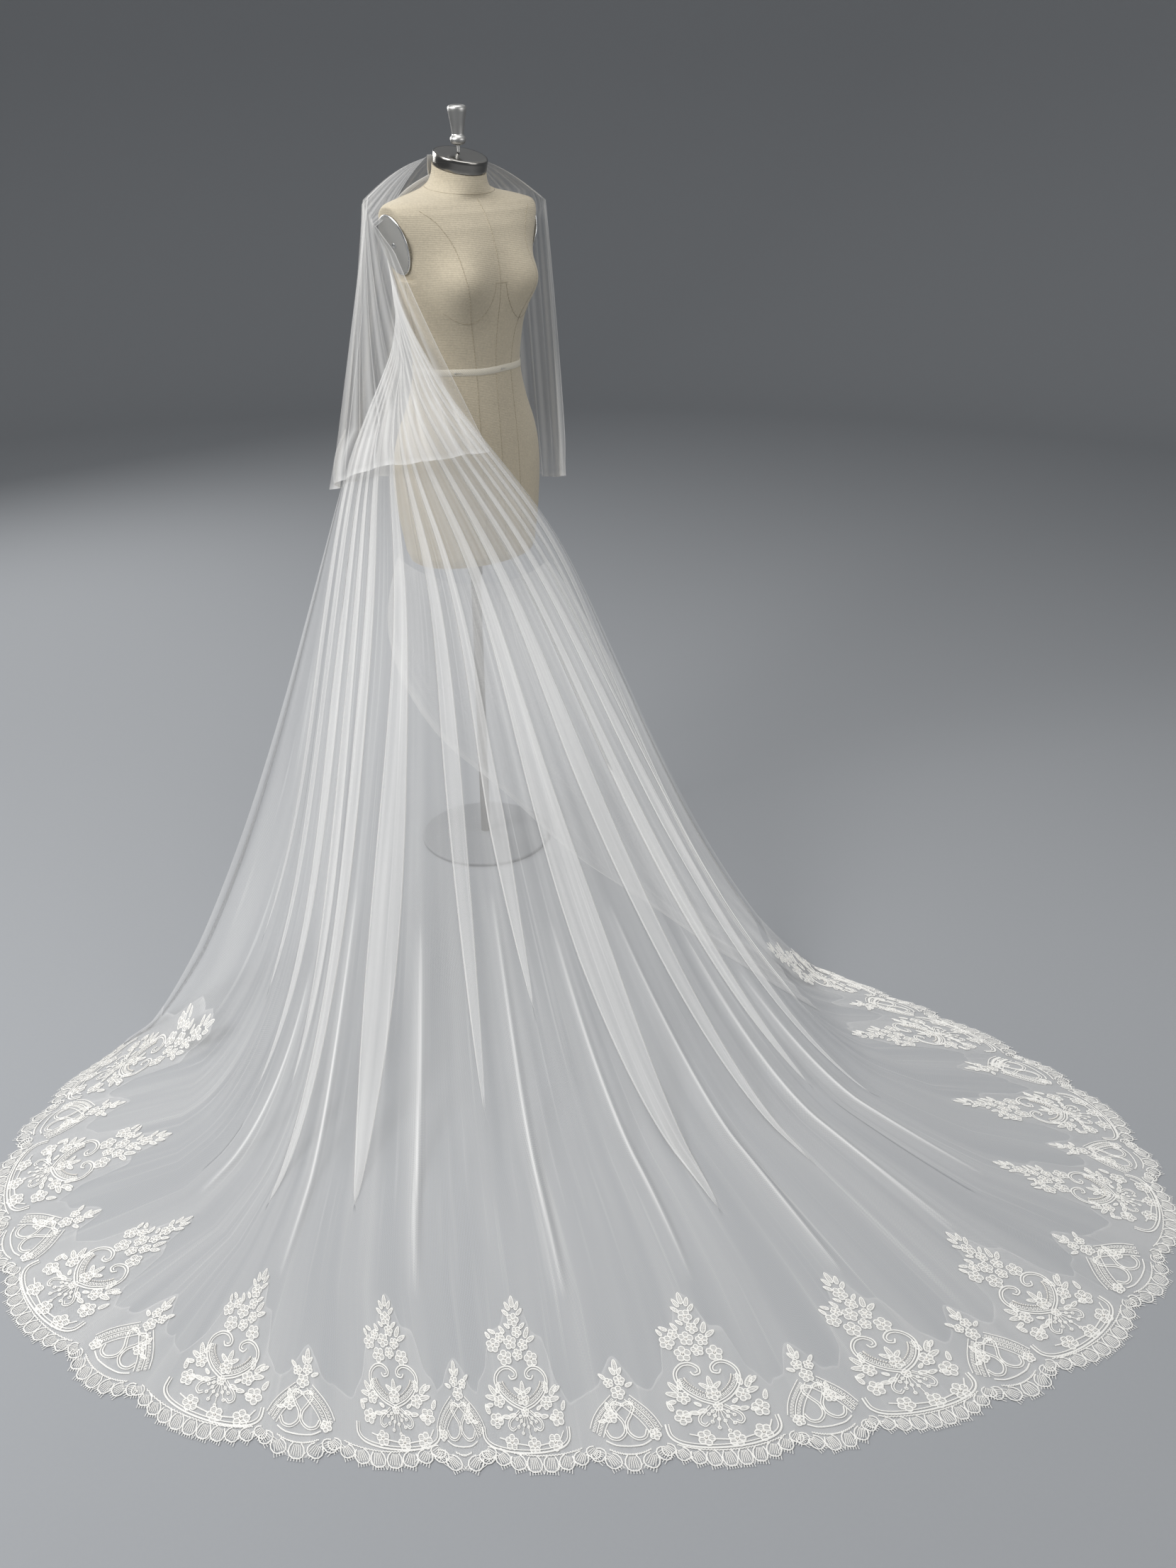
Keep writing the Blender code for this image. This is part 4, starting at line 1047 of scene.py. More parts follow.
def grid_faces(rows, columns, ring=False):
    """Quads of a grid of points, stored row by row. A ring closes its columns."""
    i, j = np.meshgrid(np.arange(rows - 1), np.arange(columns if ring else columns - 1), indexing="ij")
    k = (j + 1) % columns
    a, b = i * columns + j, i * columns + k
    return np.stack([a, b, b + columns, a + columns], -1).reshape(-1, 4)


def build(name, points, faces, finishes, uv=None, fold=None, kinds=None, sharp=None):
    """A smooth mesh object, with its cloth coordinates and fold lines where it has them."""
    mesh = bpy.data.meshes.new(name)
    mesh.from_pydata(np.asarray(points).reshape(-1, 3).tolist(), [], [tuple(f) for f in faces])
    for finish in finishes if isinstance(finishes, (list, tuple)) else [finishes]:
        mesh.materials.append(finish)
    if kinds is not None:
        mesh.polygons.foreach_set("material_index", np.asarray(kinds, np.int32))
    if uv is not None:
        corners = np.zeros(len(mesh.loops), np.int32)
        mesh.loops.foreach_get("vertex_index", corners)
        layer = mesh.uv_layers.new(name="cloth")
        layer.uv.foreach_set("vector", np.asarray(uv, np.float32).reshape(-1, 2)[corners].ravel())
    if fold is not None:
        lines = mesh.attributes.new("fold", "FLOAT", "POINT")
        lines.data.foreach_set("value", np.asarray(fold, np.float32).ravel())
    mesh.shade_smooth()
    if sharp is not None:
        mesh.set_sharp_from_angle(angle=math.radians(sharp))
    mesh.update()
    made = bpy.data.objects.new(name, mesh)
    bpy.context.scene.collection.objects.link(made)
    return made


def place_piece(made, slot, *nodes):
    """The piece rides on the form's stand, and stands for its CAD nodes."""
    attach(made, "root")
    if nodes:
        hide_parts(*nodes)
    return made


def turned(name, profile, finish, steps=96, matrix=None):
    """A turned piece, from radius and height pairs that run along its outer side."""
    profile = np.array(profile)
    angle = np.linspace(0, 2 * math.pi, steps, endpoint=False)
    rings = [
        np.stack([np.cos(angle) * r, np.sin(angle) * r, np.full(steps, z)], -1)
        for r, z in profile[(profile[:, 0] > 0)]
    ]
    points = np.concatenate(rings + [[(0, 0, profile[0][1])], [(0, 0, profile[-1][1])]])
    faces = [tuple(f) for f in grid_faces(len(rings), steps, ring=True)]
    top, foot = len(points) - 2, len(points) - 1
    last = (len(rings) - 1) * steps
    faces += [(top, (j + 1) % steps, j) for j in range(steps)]
    faces += [(foot, last + j, last + (j + 1) % steps) for j in range(steps)]
    made = build(name, points, [tuple(reversed(f)) for f in faces], finish, sharp=28)
    if matrix is not None:
        made.data.transform(matrix)
    return made


def tube(points, radius, sides=6, closed=False):
    """Points and quads of a thin tube along a line of points in space."""
    points = np.asarray(points, float)
    if closed:
        ahead, behind = np.roll(points, -1, 0), np.roll(points, 1, 0)
    else:
        ahead = np.concatenate([points[1:], points[-1:]])
        behind = np.concatenate([points[:1], points[:-1]])
    forward = unit(ahead - behind)
    helper = np.where(np.abs(forward[:, 2:]) > 0.9, (1.0, 0.0, 0.0), (0.0, 0.0, 1.0))
    side = unit(np.cross(forward, helper))
    up = np.cross(side, forward)
    angle = np.linspace(0, 2 * math.pi, sides, endpoint=False)
    ring = (
        points[:, None] + radius * (side[:, None] * np.cos(angle)[:, None] + up[:, None] * np.sin(angle)[:, None])
    )
    rows = len(points)
    faces = grid_faces(rows, sides, ring=True)
    if closed:
        last = (rows - 1) * sides
        j = np.arange(sides)
        faces = np.concatenate(
            [faces, np.stack([last + j, last + (j + 1) % sides, (j + 1) % sides, j], -1)]
        )
    return ring.reshape(-1, 3), faces


def rounded(line, step=3.0, closed=False):
    """A line of points in millimetres, drawn as a smooth curve with points a step apart."""
    line = np.asarray(line, float)
    if closed:
        line = np.concatenate([line, line[:1]])
    table = (("k", "x", "y"),) + tuple((k, *p) for k, p in enumerate(line))
    length = np.linalg.norm(np.diff(line, axis=0), axis=1).sum()
    at = np.linspace(0, len(line) - 1, max(int(length / step), 3) + 1)
    made = np.stack([curve(table, "x", at), curve(table, "y", at)], -1)
    return made[:-1] if closed else made


def beside(line, distance):
    """A line shifted to its left."""
    forward = unit(np.gradient(line, axis=0))
    return line + np.stack([-forward[:, 1], forward[:, 0]], -1) * distance


class Lacework:
    """Cords, fills and beads of the lace, gathered as places along the hem, in from it and up."""

    def __init__(self):
        self.points, self.faces, self.kinds, self.count = [], [], [], 0
        self.middle, self.stretch, self.side = 0.0, 1.0, 1

    def put(self, points, faces, kind):
        points = np.array(points, float)
        points[:, 0] = self.middle * 1000 + points[:, 0] * self.stretch * self.side
        self.points.append(points / 1000)
        if self.side < 0:
            faces = [tuple(reversed(face)) for face in faces]
        self.faces += [tuple(int(i) + self.count for i in face) for face in faces]
        self.kinds += [kind] * len(faces)
        self.count += len(points)

    def cord(self, line, width=2.2, height=0.9, closed=False):
        """A satin-stitched cord, raised along its middle."""
        line = np.asarray(line, float)
        if closed:
            forward = unit(np.roll(line, -1, 0) - np.roll(line, 1, 0))
        else:
            forward = unit(np.gradient(line, axis=0))
        side = np.stack([-forward[:, 1], forward[:, 0]], -1) * width / 2
        low, top = np.full((len(line), 1), 0.05), np.full((len(line), 1), height)
        rows = np.stack(
            [np.hstack([line + side, low]), np.hstack([line, top]), np.hstack([line - side, low])], 1
        )
        faces = grid_faces(len(line), 3)
        if closed:
            last = 3 * (len(line) - 1)
            faces = np.concatenate([faces, [(last, last + 1, 1, 0), (last + 1, last + 2, 2, 1)]])
        self.put(rows.reshape(-1, 3), faces, 0)

    def fill(self, ring, height=0.45):
        """A stitched fill inside a closed line, slightly crowned."""
        ring = np.asarray(ring, float)
        middle = np.append(ring.mean(0), height)
        points = np.vstack([np.hstack([ring, np.full((len(ring), 1), 0.2)]), middle])
        n = len(ring)
        self.put(points, [(k, (k + 1) % n, n) for k in range(n)], 1)

    def bead(self, x, y, radius=1.3):
        """A seed bead, as a low dome."""
        angle = np.linspace(0, 2 * math.pi, 6, endpoint=False)
        rings = [
            np.stack([x + np.cos(angle) * r, y + np.sin(angle) * r, np.full(6, h)], -1)
            for r, h in ((radius, 0.3), (radius * 0.8, 0.3 + radius))
        ]
        points = np.vstack(rings + [[(x, y, 0.3 + 1.5 * radius)]])
        faces = list(grid_faces(2, 6, ring=True)) + [(6 + k, 6 + (k + 1) % 6, 12) for k in range(6)]
        self.put(points, faces, 2)

    def loop(self, x, y, long, wide, turn, tip=0.0, width=2.1, filled=True):
        """A closed corded petal or leaf from its foot, turned from straight inwards."""
        share = np.linspace(0, 2 * math.pi, 11)[:-1]
        along = (1 - np.cos(share)) / 2
        across = np.sin(share) * (1 - tip * along) * wide / 2
        shape = np.stack([across, along * long], -1)
        turn = math.radians(turn)
        c, s = math.cos(turn), math.sin(turn)
        ring = np.stack([x + shape[:, 0] * c + shape[:, 1] * s, y - shape[:, 0] * s + shape[:, 1] * c], -1)
        self.cord(ring, width, closed=True)
        if filled:
            self.fill(ring)

    def leaf(self, x, y, long, turn):
        """A pointed leaf with its vein."""
        self.loop(x, y, long, long * 0.5, turn, tip=0.45)
        turn = math.radians(turn)
        tip = np.array((x + math.sin(turn) * long * 0.85, y + math.cos(turn) * long * 0.85))
        self.cord(np.linspace((x, y), tip, 3), 1.1, 0.8)

    def flower(self, x, y, size, turn=0.0, petals=5):
        """Looped petals round a beaded eye."""
        for k in range(petals):
            angle = turn + 360 * k / petals
            a = math.radians(angle)
            foot = size * 0.22
            self.loop(
                x + math.sin(a) * foot, y + math.cos(a) * foot, size * 0.80, size * 0.82, angle
            )
        self.bead(x, y, 1.5)

    def battlement(self, line, rise=2.0, pitch=5.0):
        """A cord that steps from side to side along a line."""
        line = rounded(line, 1.0)
        length = np.concatenate([[0], np.cumsum(np.linalg.norm(np.diff(line, axis=0), axis=1))])
        forward = unit(np.gradient(line, axis=0))
        side = np.stack([-forward[:, 1], forward[:, 0]], -1)
        places = []
        for k in range(int(length[-1] / pitch)):
            for part, level in ((0.05, -1), (0.05, 1), (0.5, 1), (0.55, -1)):
                at = (k + part) * pitch
                point = [np.interp(at, length, line[:, i]) for i in (0, 1)]
                off = [np.interp(at, length, side[:, i]) for i in (0, 1)]
                places.append(np.array(point) + np.array(off) * level * rise)
        self.cord(places, 1.6, 0.8)


def draw_edge(work):
    """The lobed edge: corded lobes with spokes, a cord above them, and eyelash threads outside."""
    work.middle, work.stretch, work.side = 0.0, 1.0, 1
    ends = scallop_ends()
    for start, end in zip(ends, ends[1:]):
        s = np.linspace(start + 0.002, end - 0.002, 160)
        line = np.stack([s, scallop(s)], -1) * 1000
        length = np.concatenate([[0], np.cumsum(np.linalg.norm(np.diff(line, axis=0), axis=1))])
        count = max(round(length[-1] / 20.5), 3)
        forward = unit(np.gradient(line, axis=0))
        inward = np.stack([-forward[:, 1], forward[:, 0]], -1)
        for k in range(count):
            at = (k + 0.5) / count * length[-1]
            x, y = (np.interp(at, length, line[:, i]) for i in (0, 1))
            nx, ny = (np.interp(at, length, inward[:, i]) for i in (0, 1))
            deep = 22 * (0.60 + 0.40 * math.sin(math.pi * (k + 0.5) / count))
            wide = length[-1] / count
            turn = np.array(((ny, nx), (-nx, ny)))
            shape = np.array((
                (-0.26, 1.0), (-0.44, 0.72), (-0.49, 0.42), (-0.40, 0.12), (-0.18, -0.04),
                (0.18, -0.04), (0.40, 0.12), (0.49, 0.42), (0.44, 0.72), (0.26, 1.0),
            )) * (wide, deep)
            work.cord(shape @ turn + (x, y), 2.0, 0.9)
            for part in (-0.30, -0.15, 0.0, 0.15, 0.30):
                spoke = np.array(((part * 0.6, 0.90), (part * 1.05, 0.14))) * (wide, deep)
                work.cord(spoke @ turn + (x, y), 1.1, 0.6)
            for part in np.linspace(-0.42, 0.42, 6):
                lash = np.array(((part, 0.04), (part * 1.12, -0.24))) * (wide, 22)
                work.cord(lash @ turn + (x, y), 0.9, 0.4)
        keep = slice(6, -6)
        inner = (line + inward * 23 * (0.6 + 0.4 * np.sin(math.pi * length / length[-1]))[:, None])[keep]
        ripple = 0.9 * np.sin(length[keep] * 2 * math.pi / 5)
        work.cord((inner + inward[keep] * ripple[:, None])[::2], 2.0, 1.0)


def draw_big(work, k):
    """A big motif: flower chain, spray, scrolls, heart, and a column of flowers and leaves."""
    for row in rows_of(FLOWERS):
        work.flower(row["x"], row["y"], row["size"] * 1.08, turn=17 * (row["x"] + k) % 72)
    for row in rows_of(LEAVES):
        work.leaf(row["x"], row["y"], row["long"] * 1.1, row["turn"])
    for bar in BARS:
        work.cord(rounded(bar, 5.0), 2.2, 1.0)
    for ray in rows_of(RAYS):
        turn = math.radians(ray["degrees"])
        out = np.array((math.sin(turn), -math.cos(turn)))
        foot = np.array((1.0, 89.0))
        work.cord(np.linspace(foot + out * 5, foot + out * ray["long"], 4), 1.5, 0.9)
        for share in (0.6, 1.0):
            dot = foot + out * ray["long"] * share
            work.loop(*(dot - out * 2), 4.5, 4.5, math.degrees(math.atan2(out[0], out[1])), width=1.6)
    work.flower(1, 89, 7)
    frame = rounded(FRAME, 4.0)
    work.cord(frame, 2.8, 1.1)
    work.cord(beside(frame, 4.5), 1.8, 0.9)
    heart = rounded(np.array(HEART) * (1.2, 1.0), 3.0)
    for work.side in (1, -1):
        work.cord(heart, 2.6, 1.1)
        work.cord(beside(heart, 4.2)[:-3], 2.1, 0.9)
        inner = beside(heart, 9.0)[2:19]
        work.battlement(inner, 2.1, 5.6)
        row = beside(heart, 14.5)[3:17]
        for x, y in row:
            work.bead(x, y, 1.3)
        scroll = rounded(SCROLL, 3.0)
        work.cord(scroll, 1.9, 0.9)
        work.cord(beside(scroll, -3.2), 1.6, 0.8)
    work.side = 1


def draw_middle(work, k):
    """The smaller motif between two big ones: paired scrolls, stepped cords, flowers, a leafy tip."""
    work.side = -1 if k % 2 else 1
    for row in rows_of(MIDDLE_FLOWERS):
        work.flower(row["x"], row["y"], row["size"] * 1.08, turn=11 * (row["y"] + k) % 72)
    for row in rows_of(MIDDLE_LEAVES):
        work.leaf(row["x"], row["y"], row["long"] * 1.1, row["turn"])
    line = rounded(PAISLEY, 3.0)
    for work.side in (1, -1):
        work.cord(line - (8, 0), 2.2, 1.0)
        work.cord(beside(line, 3.6) - (8, 0), 1.7, 0.9)
        work.battlement(BATTLEMENT, 2.0, 5.0)
        work.battlement(np.array(BATTLEMENT) + (8, -6), 2.0, 5.0)
        for shift in ((4, -3), (-5, 4), (13, -10)):
            work.cord(rounded(np.array(BATTLEMENT) + shift, 3.0), 1.8, 0.9)
        work.cord(rounded(((-34, 44), (-20, 37), (0, 35)), 4.0), 2.4, 1.0)
    work.side = 1


def lace_reach(s):
    """How far the lace's own net reaches in from the edge, cut round the motifs."""
    reach = np.full(np.shape(s), LOW)
    for outline, places in (
        (BIG_OUTLINE, motif_places()),
        (MIDDLE_OUTLINE, middle_places()),
    ):
        for middle, stretch in places:
            near = np.abs(s - middle) / stretch
            reach = np.maximum(reach, np.interp(near * 1000, *np.array(outline[1:]).T) / 1000)
    return reach + 0.003 * np.sin(s * 150) * np.sin(s * 61 + 1)


def motif_places():
    """The middle of each big motif along the hem, and how far it is stretched."""
    gaps = np.diff(MOTIFS)
    near = [min(gaps[max(k - 1, 0)], gaps[min(k, len(gaps) - 1)]) for k in range(len(MOTIFS))]
    return [(m, min(max(gap / 0.275, 0.70), 1.14)) for m, gap in zip(MOTIFS, near)]


def middle_places():
    """The middle of each smaller motif along the hem, and how far it is stretched."""
    pairs = zip(MOTIFS, MOTIFS[1:])
    return [((a + b) / 2, min(max((b - a) / 0.30, 0.56), 1.15)) for a, b in pairs]


def on_border(s, depth, up):
    """Points above the train in the lace border, at a depth in from the hem's line."""
    u = np.clip(s / HEM_LENGTH, 0, 1)
    place = train(u, depth=depth)
    across = train(np.clip(u + 0.0008, 0, 1), depth=depth) - train(np.clip(u - 0.0008, 0, 1), depth=depth)
    down = train(u, depth=depth - 0.004) - train(u, depth=depth + 0.004)
    normal = outward_normal(place, across, down)
    return place + normal * np.asarray(up)[..., None]


class VeilCloth(PropertyGroup):
    tulle_colour: FloatVectorProperty(
        name="Tulle", description="Colour of the nylon net", subtype="COLOR", size=3,
        default=srgb("#F7F6F4"), min=0, max=1,
    )
    lace_colour: FloatVectorProperty(
        name="Lace", description="Colour of the embroidery thread", subtype="COLOR", size=3,
        default=srgb("#FAF8F3"), min=0, max=1,
    )
    net_cell: FloatProperty(
        name="Net cell", description="Width of a drawn cell of the net", unit="LENGTH",
        default=0.0024, min=0.0008, max=0.01, precision=4,
    )
    hole_cover: FloatProperty(
        name="Hole cover", description="How much a hole of the net covers", subtype="FACTOR",
        default=0.06, min=0, max=1,
    )
    thread_cover: FloatProperty(
        name="Thread cover", description="How much a thread of the net covers", subtype="FACTOR",
        default=0.34, min=0, max=1,
    )
    fold_cover: FloatProperty(
        name="Fold cover", description="How much more a fold's edge covers", subtype="FACTOR",
        default=0.70, min=0, max=1,
    )
    fold_edge: FloatProperty(
        name="Fold edge", description="Width of a pleat's bright edge", unit="LENGTH",
        default=0.0034, min=0.0005, max=0.01, precision=4,
    )
    pleat_depth: FloatProperty(
        name="Pleat depth", description="Height between the layers of a pleat", unit="LENGTH",
        default=0.0022, min=0.0003, max=0.01, precision=4,
    )
    short_fold: FloatProperty(
        name="Short tier folds", description="Depth of the short tier's folds", unit="LENGTH",
        default=0.0078, min=0.001, max=0.02, precision=4,
    )


class VeilForm(PropertyGroup):
    cover_colour: FloatVectorProperty(
        name="Cover", description="Colour of the form's jersey cover", subtype="COLOR", size=3,
        default=srgb("#C3B8A2"), min=0, max=1,
    )
    # Partly the steel's own grey, partly a painted dark reflection: darker than the other steel parts, so that
    # the cap's top reads dark
    dark_reflection_steel_colour: FloatVectorProperty(
        name="Steel", description="Colour of the brushed steel", subtype="COLOR", size=3,
        default=srgb("#9C9994"), min=0, max=1,
    )
    tape_z: FloatProperty(
        name="Waist tape height", description="Height of the waist tape's middle", unit="LENGTH",
        default=1.0975, min=1.0, max=1.2,
    )
    tape_width: FloatProperty(
        name="Waist tape width", description="Width of the waist tape", unit="LENGTH",
        default=0.013, min=0.004, max=0.03, precision=4,
    )


class VeilStage(PropertyGroup):
    floor_colour: FloatVectorProperty(
        name="Floor", description="Colour of the background paper", subtype="COLOR", size=3,
        default=srgb("#9A9C9F"), min=0, max=1,
    )
    camera_place: FloatVectorProperty(
        name="Camera", description="Where the camera stands", subtype="TRANSLATION", size=3,
        default=(0.245, -2.8, 1.6),
    )
    camera_pitch: FloatProperty(
        name="Pitch", description="How far the camera looks down", subtype="ANGLE",
        default=math.radians(27.6),
    )
    camera_lens: FloatProperty(
        name="Lens", description="Focal length on a 36 mm high frame", unit="CAMERA",
        default=36 * 1890 / 2212, min=10, max=200,
    )


class VEIL_OT_form(Operator):
    """Builds the padded form's cover with its seams, waist tape and pins"""

    bl_idname = "veil.form"
    bl_label = "Dress Form"

    def execute(self, context):
        form = context.scene.veil_form
        jersey = jersey_finish(form)
        angles = np.radians(np.linspace(-180, 180, 180, endpoint=False))
        z = np.unique(np.concatenate([np.linspace(0.705, 1.38, 130), np.linspace(1.38, 1.459, 34)]))
        grid = np.array([torso_place(level, angles) for level in z])
        # A rolled edge at the cut, and closed ends
        rolled = grid[0] * (0.975, 0.975, 1.0) - (0.0, 0.0, 0.0)
        grid = np.concatenate([rolled[None], grid])
        grid[0][:, 2] = HIP_CUT_Z - 0.0002
        points = grid.reshape(-1, 3)
        faces = [tuple(f) for f in grid_faces(len(grid), 180, ring=True)]
        last = (len(grid) - 1) * 180
        faces += [tuple(reversed(range(180))), tuple(range(last, last + 180))]
        cover = build("form_cover", points, faces, jersey, sharp=50)
        place_piece(cover, "form_linen", "form_torso")

        thread = thread_finish()
        lines = []
        for line in SEAM_LINES:
            line = np.array(line, float)
            sides = (1,) if line[0][0] in (0, 180) else (1, -1)
            for side in sides:
                table = (("k", "a", "z"),) + tuple((k, *p) for k, p in enumerate(line))
                at = np.linspace(0, len(line) - 1, 60)
                lines.append((np.radians(side * curve(table, "a", at)), curve(table, "z", at)))
        turn = np.radians(np.linspace(-180, 180, 90))
        lines.append((turn, np.full(90, 1.4235)))
        bar = np.radians(np.linspace(-7.5, 7.5, 12))
        lines.append((bar, np.full(12, 1.262)))
        points, faces, count = [], [], 0
        for angle, height in lines:
            ring, quads = tube(torso_place(height, angle, 0.0001), 0.0006, 6)
            points.append(ring)
            faces += [tuple(f) for f in quads + count]
            count += len(ring)
        seams = build("form_seams", np.concatenate(points), faces, thread)
        place_piece(seams, "form_linen")

        turn = np.radians(np.linspace(-180, 180, 200, endpoint=False))
        half = form.tape_width / 2
        rows = [
            torso_place(form.tape_z + half * k + 0.0006 * np.sin(5 * turn), turn, out)
            for k, out in ((-1, 0.0002), (-0.92, 0.0007), (0.92, 0.0007), (1, 0.0002))
        ]
        uv = [np.stack([(turn + math.pi) * 0.12, np.full(200, k * half)], -1) for k in (-1, -0.92, 0.92, 1)]
        tape = build("waist_tape", np.array(rows), grid_faces(4, 200, ring=True), tape_finish(), uv=uv)
        place_piece(tape, "form_linen")

        steel = steel_finish("steel_pin_nickelled", srgb("#D4D3D0"))
        points, faces, count = [], [], 0
        for degrees in (-52, 9):
            middle = torso_place(form.tape_z, math.radians(degrees), 0.0021)
            along = torso_place(form.tape_z, math.radians(degrees + 7), 0.0019)
            shaft, quads = tube(np.linspace(middle, along, 5), 0.0005, 6)
            points.append(shaft)
            faces += [tuple(f) for f in quads + count]
            count += len(shaft)
            share = np.linspace(0.02, 0.98, 9)
            line = middle + np.outer((share - 0.5) * 0.0040, unit(middle - along))
            ball, quads = tube(line, 1.0, 10)
            size = np.sin(np.pi * share) * 0.0019
            ball = line[:, None] + (ball.reshape(9, 10, 3) - line[:, None]) * size[:, None, None]
            points.append(ball.reshape(-1, 3))
            faces += [tuple(f) for f in quads + count]
            faces += [tuple(range(count, count + 10)), tuple(range(count + 80, count + 90))]
            count += 90
        pins = build("waist_pins", np.concatenate(points), faces, steel)
        place_piece(pins, "brushed_steel")
        return {"FINISHED"}


class VEIL_OT_metalwork(Operator):
    """Builds the neck cap, the finial, the pole, the base and the armhole plates"""

    bl_idname = "veil.metalwork"
    bl_label = "Metalwork and Plates"

    def execute(self, context):
        form = context.scene.veil_form
        # The cap and the pole take the darkened steel colour, a painted dark reflection on the cap's top
        steel = steel_finish("stainless_steel_brushed", form.dark_reflection_steel_colour, 0.14, 0.28)
        satin = steel_finish("steel_turned_bead_blasted", srgb("#C4C3C0"), 0.34, 0.48)
        r, h, e = CAP_RADIUS, CAP_THICK, 0.002
        tilt = Matrix.Rotation(FORM_TURN, 4, "Z") @ Matrix.Rotation(NECK_TILT, 4, "X")
        seat = Vector((0, 0, NECK_TOP_Z)) + tilt.to_3x3() @ Vector((0, 0, SEAM))
        cap = turned(
            "neck_cap_turned",
            ((0, h), (0.010, h), (r - 0.007, h), (r - 0.004, h), (r - 0.0026, h - 0.0004),
             (r - 0.0008, h - 0.0016), (r, h - 0.004), (r, h - 0.007), (r, 0.007), (r, 0.004),
             (r - 0.0006, 0.0012), (r - e, 0), (r - 0.006, 0), (0, 0)),
            steel, 128, Matrix.Translation(seat) @ tilt,
        )
        place_piece(cap, "brushed_steel", "neck_cap")
        foot = NECK_TOP_Z + (CAP_THICK + SEAM) / math.cos(NECK_TILT) + 0.0016
        finial = turned(
            "finial_turned",
            ((0, 1.5665), (0.006, 1.5663), (0.012, 1.5655), (0.0158, 1.5640), (0.0175, 1.5618),
             (0.0180, 1.5590), (0.0172, 1.5530), (0.0140, 1.5360), (0.0112, 1.5165), (0.0112, 1.5150),
             (0.0122, 1.5130), (0.0140, 1.5110), (0.0150, 1.5078), (0.0149, 1.5045), (0.0140, 1.5020),
             (0.0118, 1.4995), (0.0075, 1.4976), (0.0030, 1.4965), (0.0030, foot), (0, foot)),
            satin, 72,
        )
        place_piece(finial, "brushed_steel", "finial")
        top = HIP_CUT_Z - SEAM
        pole = turned(
            "stand_pole_turned",
            ((0, top), (0.033, top), (0.034, top - 0.001), (0.034, top - 0.005), (0.0175, top - 0.008),
             (0.016, top - 0.010), (0.016, top - 0.049), (0.015, top - 0.051), (POLE_RADIUS, top - 0.052),
             (POLE_RADIUS, BASE_THICK + SEAM), (0, BASE_THICK + SEAM)),
            steel, 64,
        )
        place_piece(pole, "brushed_steel", "stand_pole")
        r = BASE_RADIUS
        base = turned(
            "stand_base_plate",
            ((0, BASE_THICK), (0.030, BASE_THICK), (0.034, 0.0136), (r - 0.006, 0.0086), (r - 0.002, 0.0076),
             (r, 0.0055), (r, 0.001), (r - 0.001, 0.0), (0, 0)),
            enamel_finish(), 128,
        )
        place_piece(base, "stand_enamel", "stand_base")

        clear = acrylic_finish()
        rise = ARMHOLE_TOP_Z - ARMHOLE_FOOT_Z
        lean = math.atan2(ARMHOLE_TOP_X - ARMHOLE_FOOT_X, rise)
        rim_steel = steel_finish("steel_rim_chromed", srgb("#D9D9D8"))
        angle = np.linspace(0, 2 * math.pi, 72, endpoint=False)
        for name, side in (("right", -1), ("left", 1)):
            middle_x = (ARMHOLE_FOOT_X + ARMHOLE_TOP_X) / 2
            middle_z = (ARMHOLE_FOOT_Z + ARMHOLE_TOP_Z) / 2
            out = PLATE_THICK / 2 + 2 * SEAM
            spot = Vector(
                (side * (middle_x + out * math.cos(lean)), 0.004, middle_z - out * math.sin(lean))
            )
            tip = Matrix.Rotation(side * (math.pi / 2 + lean), 4, "Y")
            matrix = Matrix.Rotation(FORM_TURN, 4, "Z") @ Matrix.Translation(spot) @ tip
            rings = []
            for inset, z in ((0.0008, -0.002), (0, -0.0014), (0, 0.0014), (0.0008, 0.002)):
                rings.append(np.stack([
                    np.cos(angle) * (PLATE_HEIGHT / 2 - inset), np.sin(angle) * (PLATE_WIDTH / 2 - inset),
                    np.full(72, z),
                ], -1))
            faces = [tuple(f) for f in grid_faces(4, 72, ring=True)]
            faces += [tuple(reversed(range(72))), tuple(range(216, 288))]
            plate = build(f"arm_plate_{name}_clear", np.concatenate(rings), faces, clear, sharp=35)
            plate.data.transform(matrix)
            place_piece(plate, "plate_acrylic", f"arm_plate_{name}")
            edge = np.stack([
                np.cos(angle) * (PLATE_HEIGHT / 2 + 0.0004), np.sin(angle) * (PLATE_WIDTH / 2 + 0.0004),
                np.full(72, 0.0),
            ], -1)
            ring, quads = tube(edge, 0.0021, 10, closed=True)
            rim = build(f"arm_rim_{name}", ring, quads, rim_steel)
            rim.data.transform(matrix)
            place_piece(rim, "brushed_steel")
            face = 0.0020
            screw = turned(
                f"arm_screw_{name}",
                ((0, face + 0.0022), (0.0022, face + 0.0021), (0.0042, face + 0.0012), (0.0048, face),
                 (0, face)),
                rim_steel, 32, matrix,
            )
            place_piece(screw, "brushed_steel")
        return {"FINISHED"}


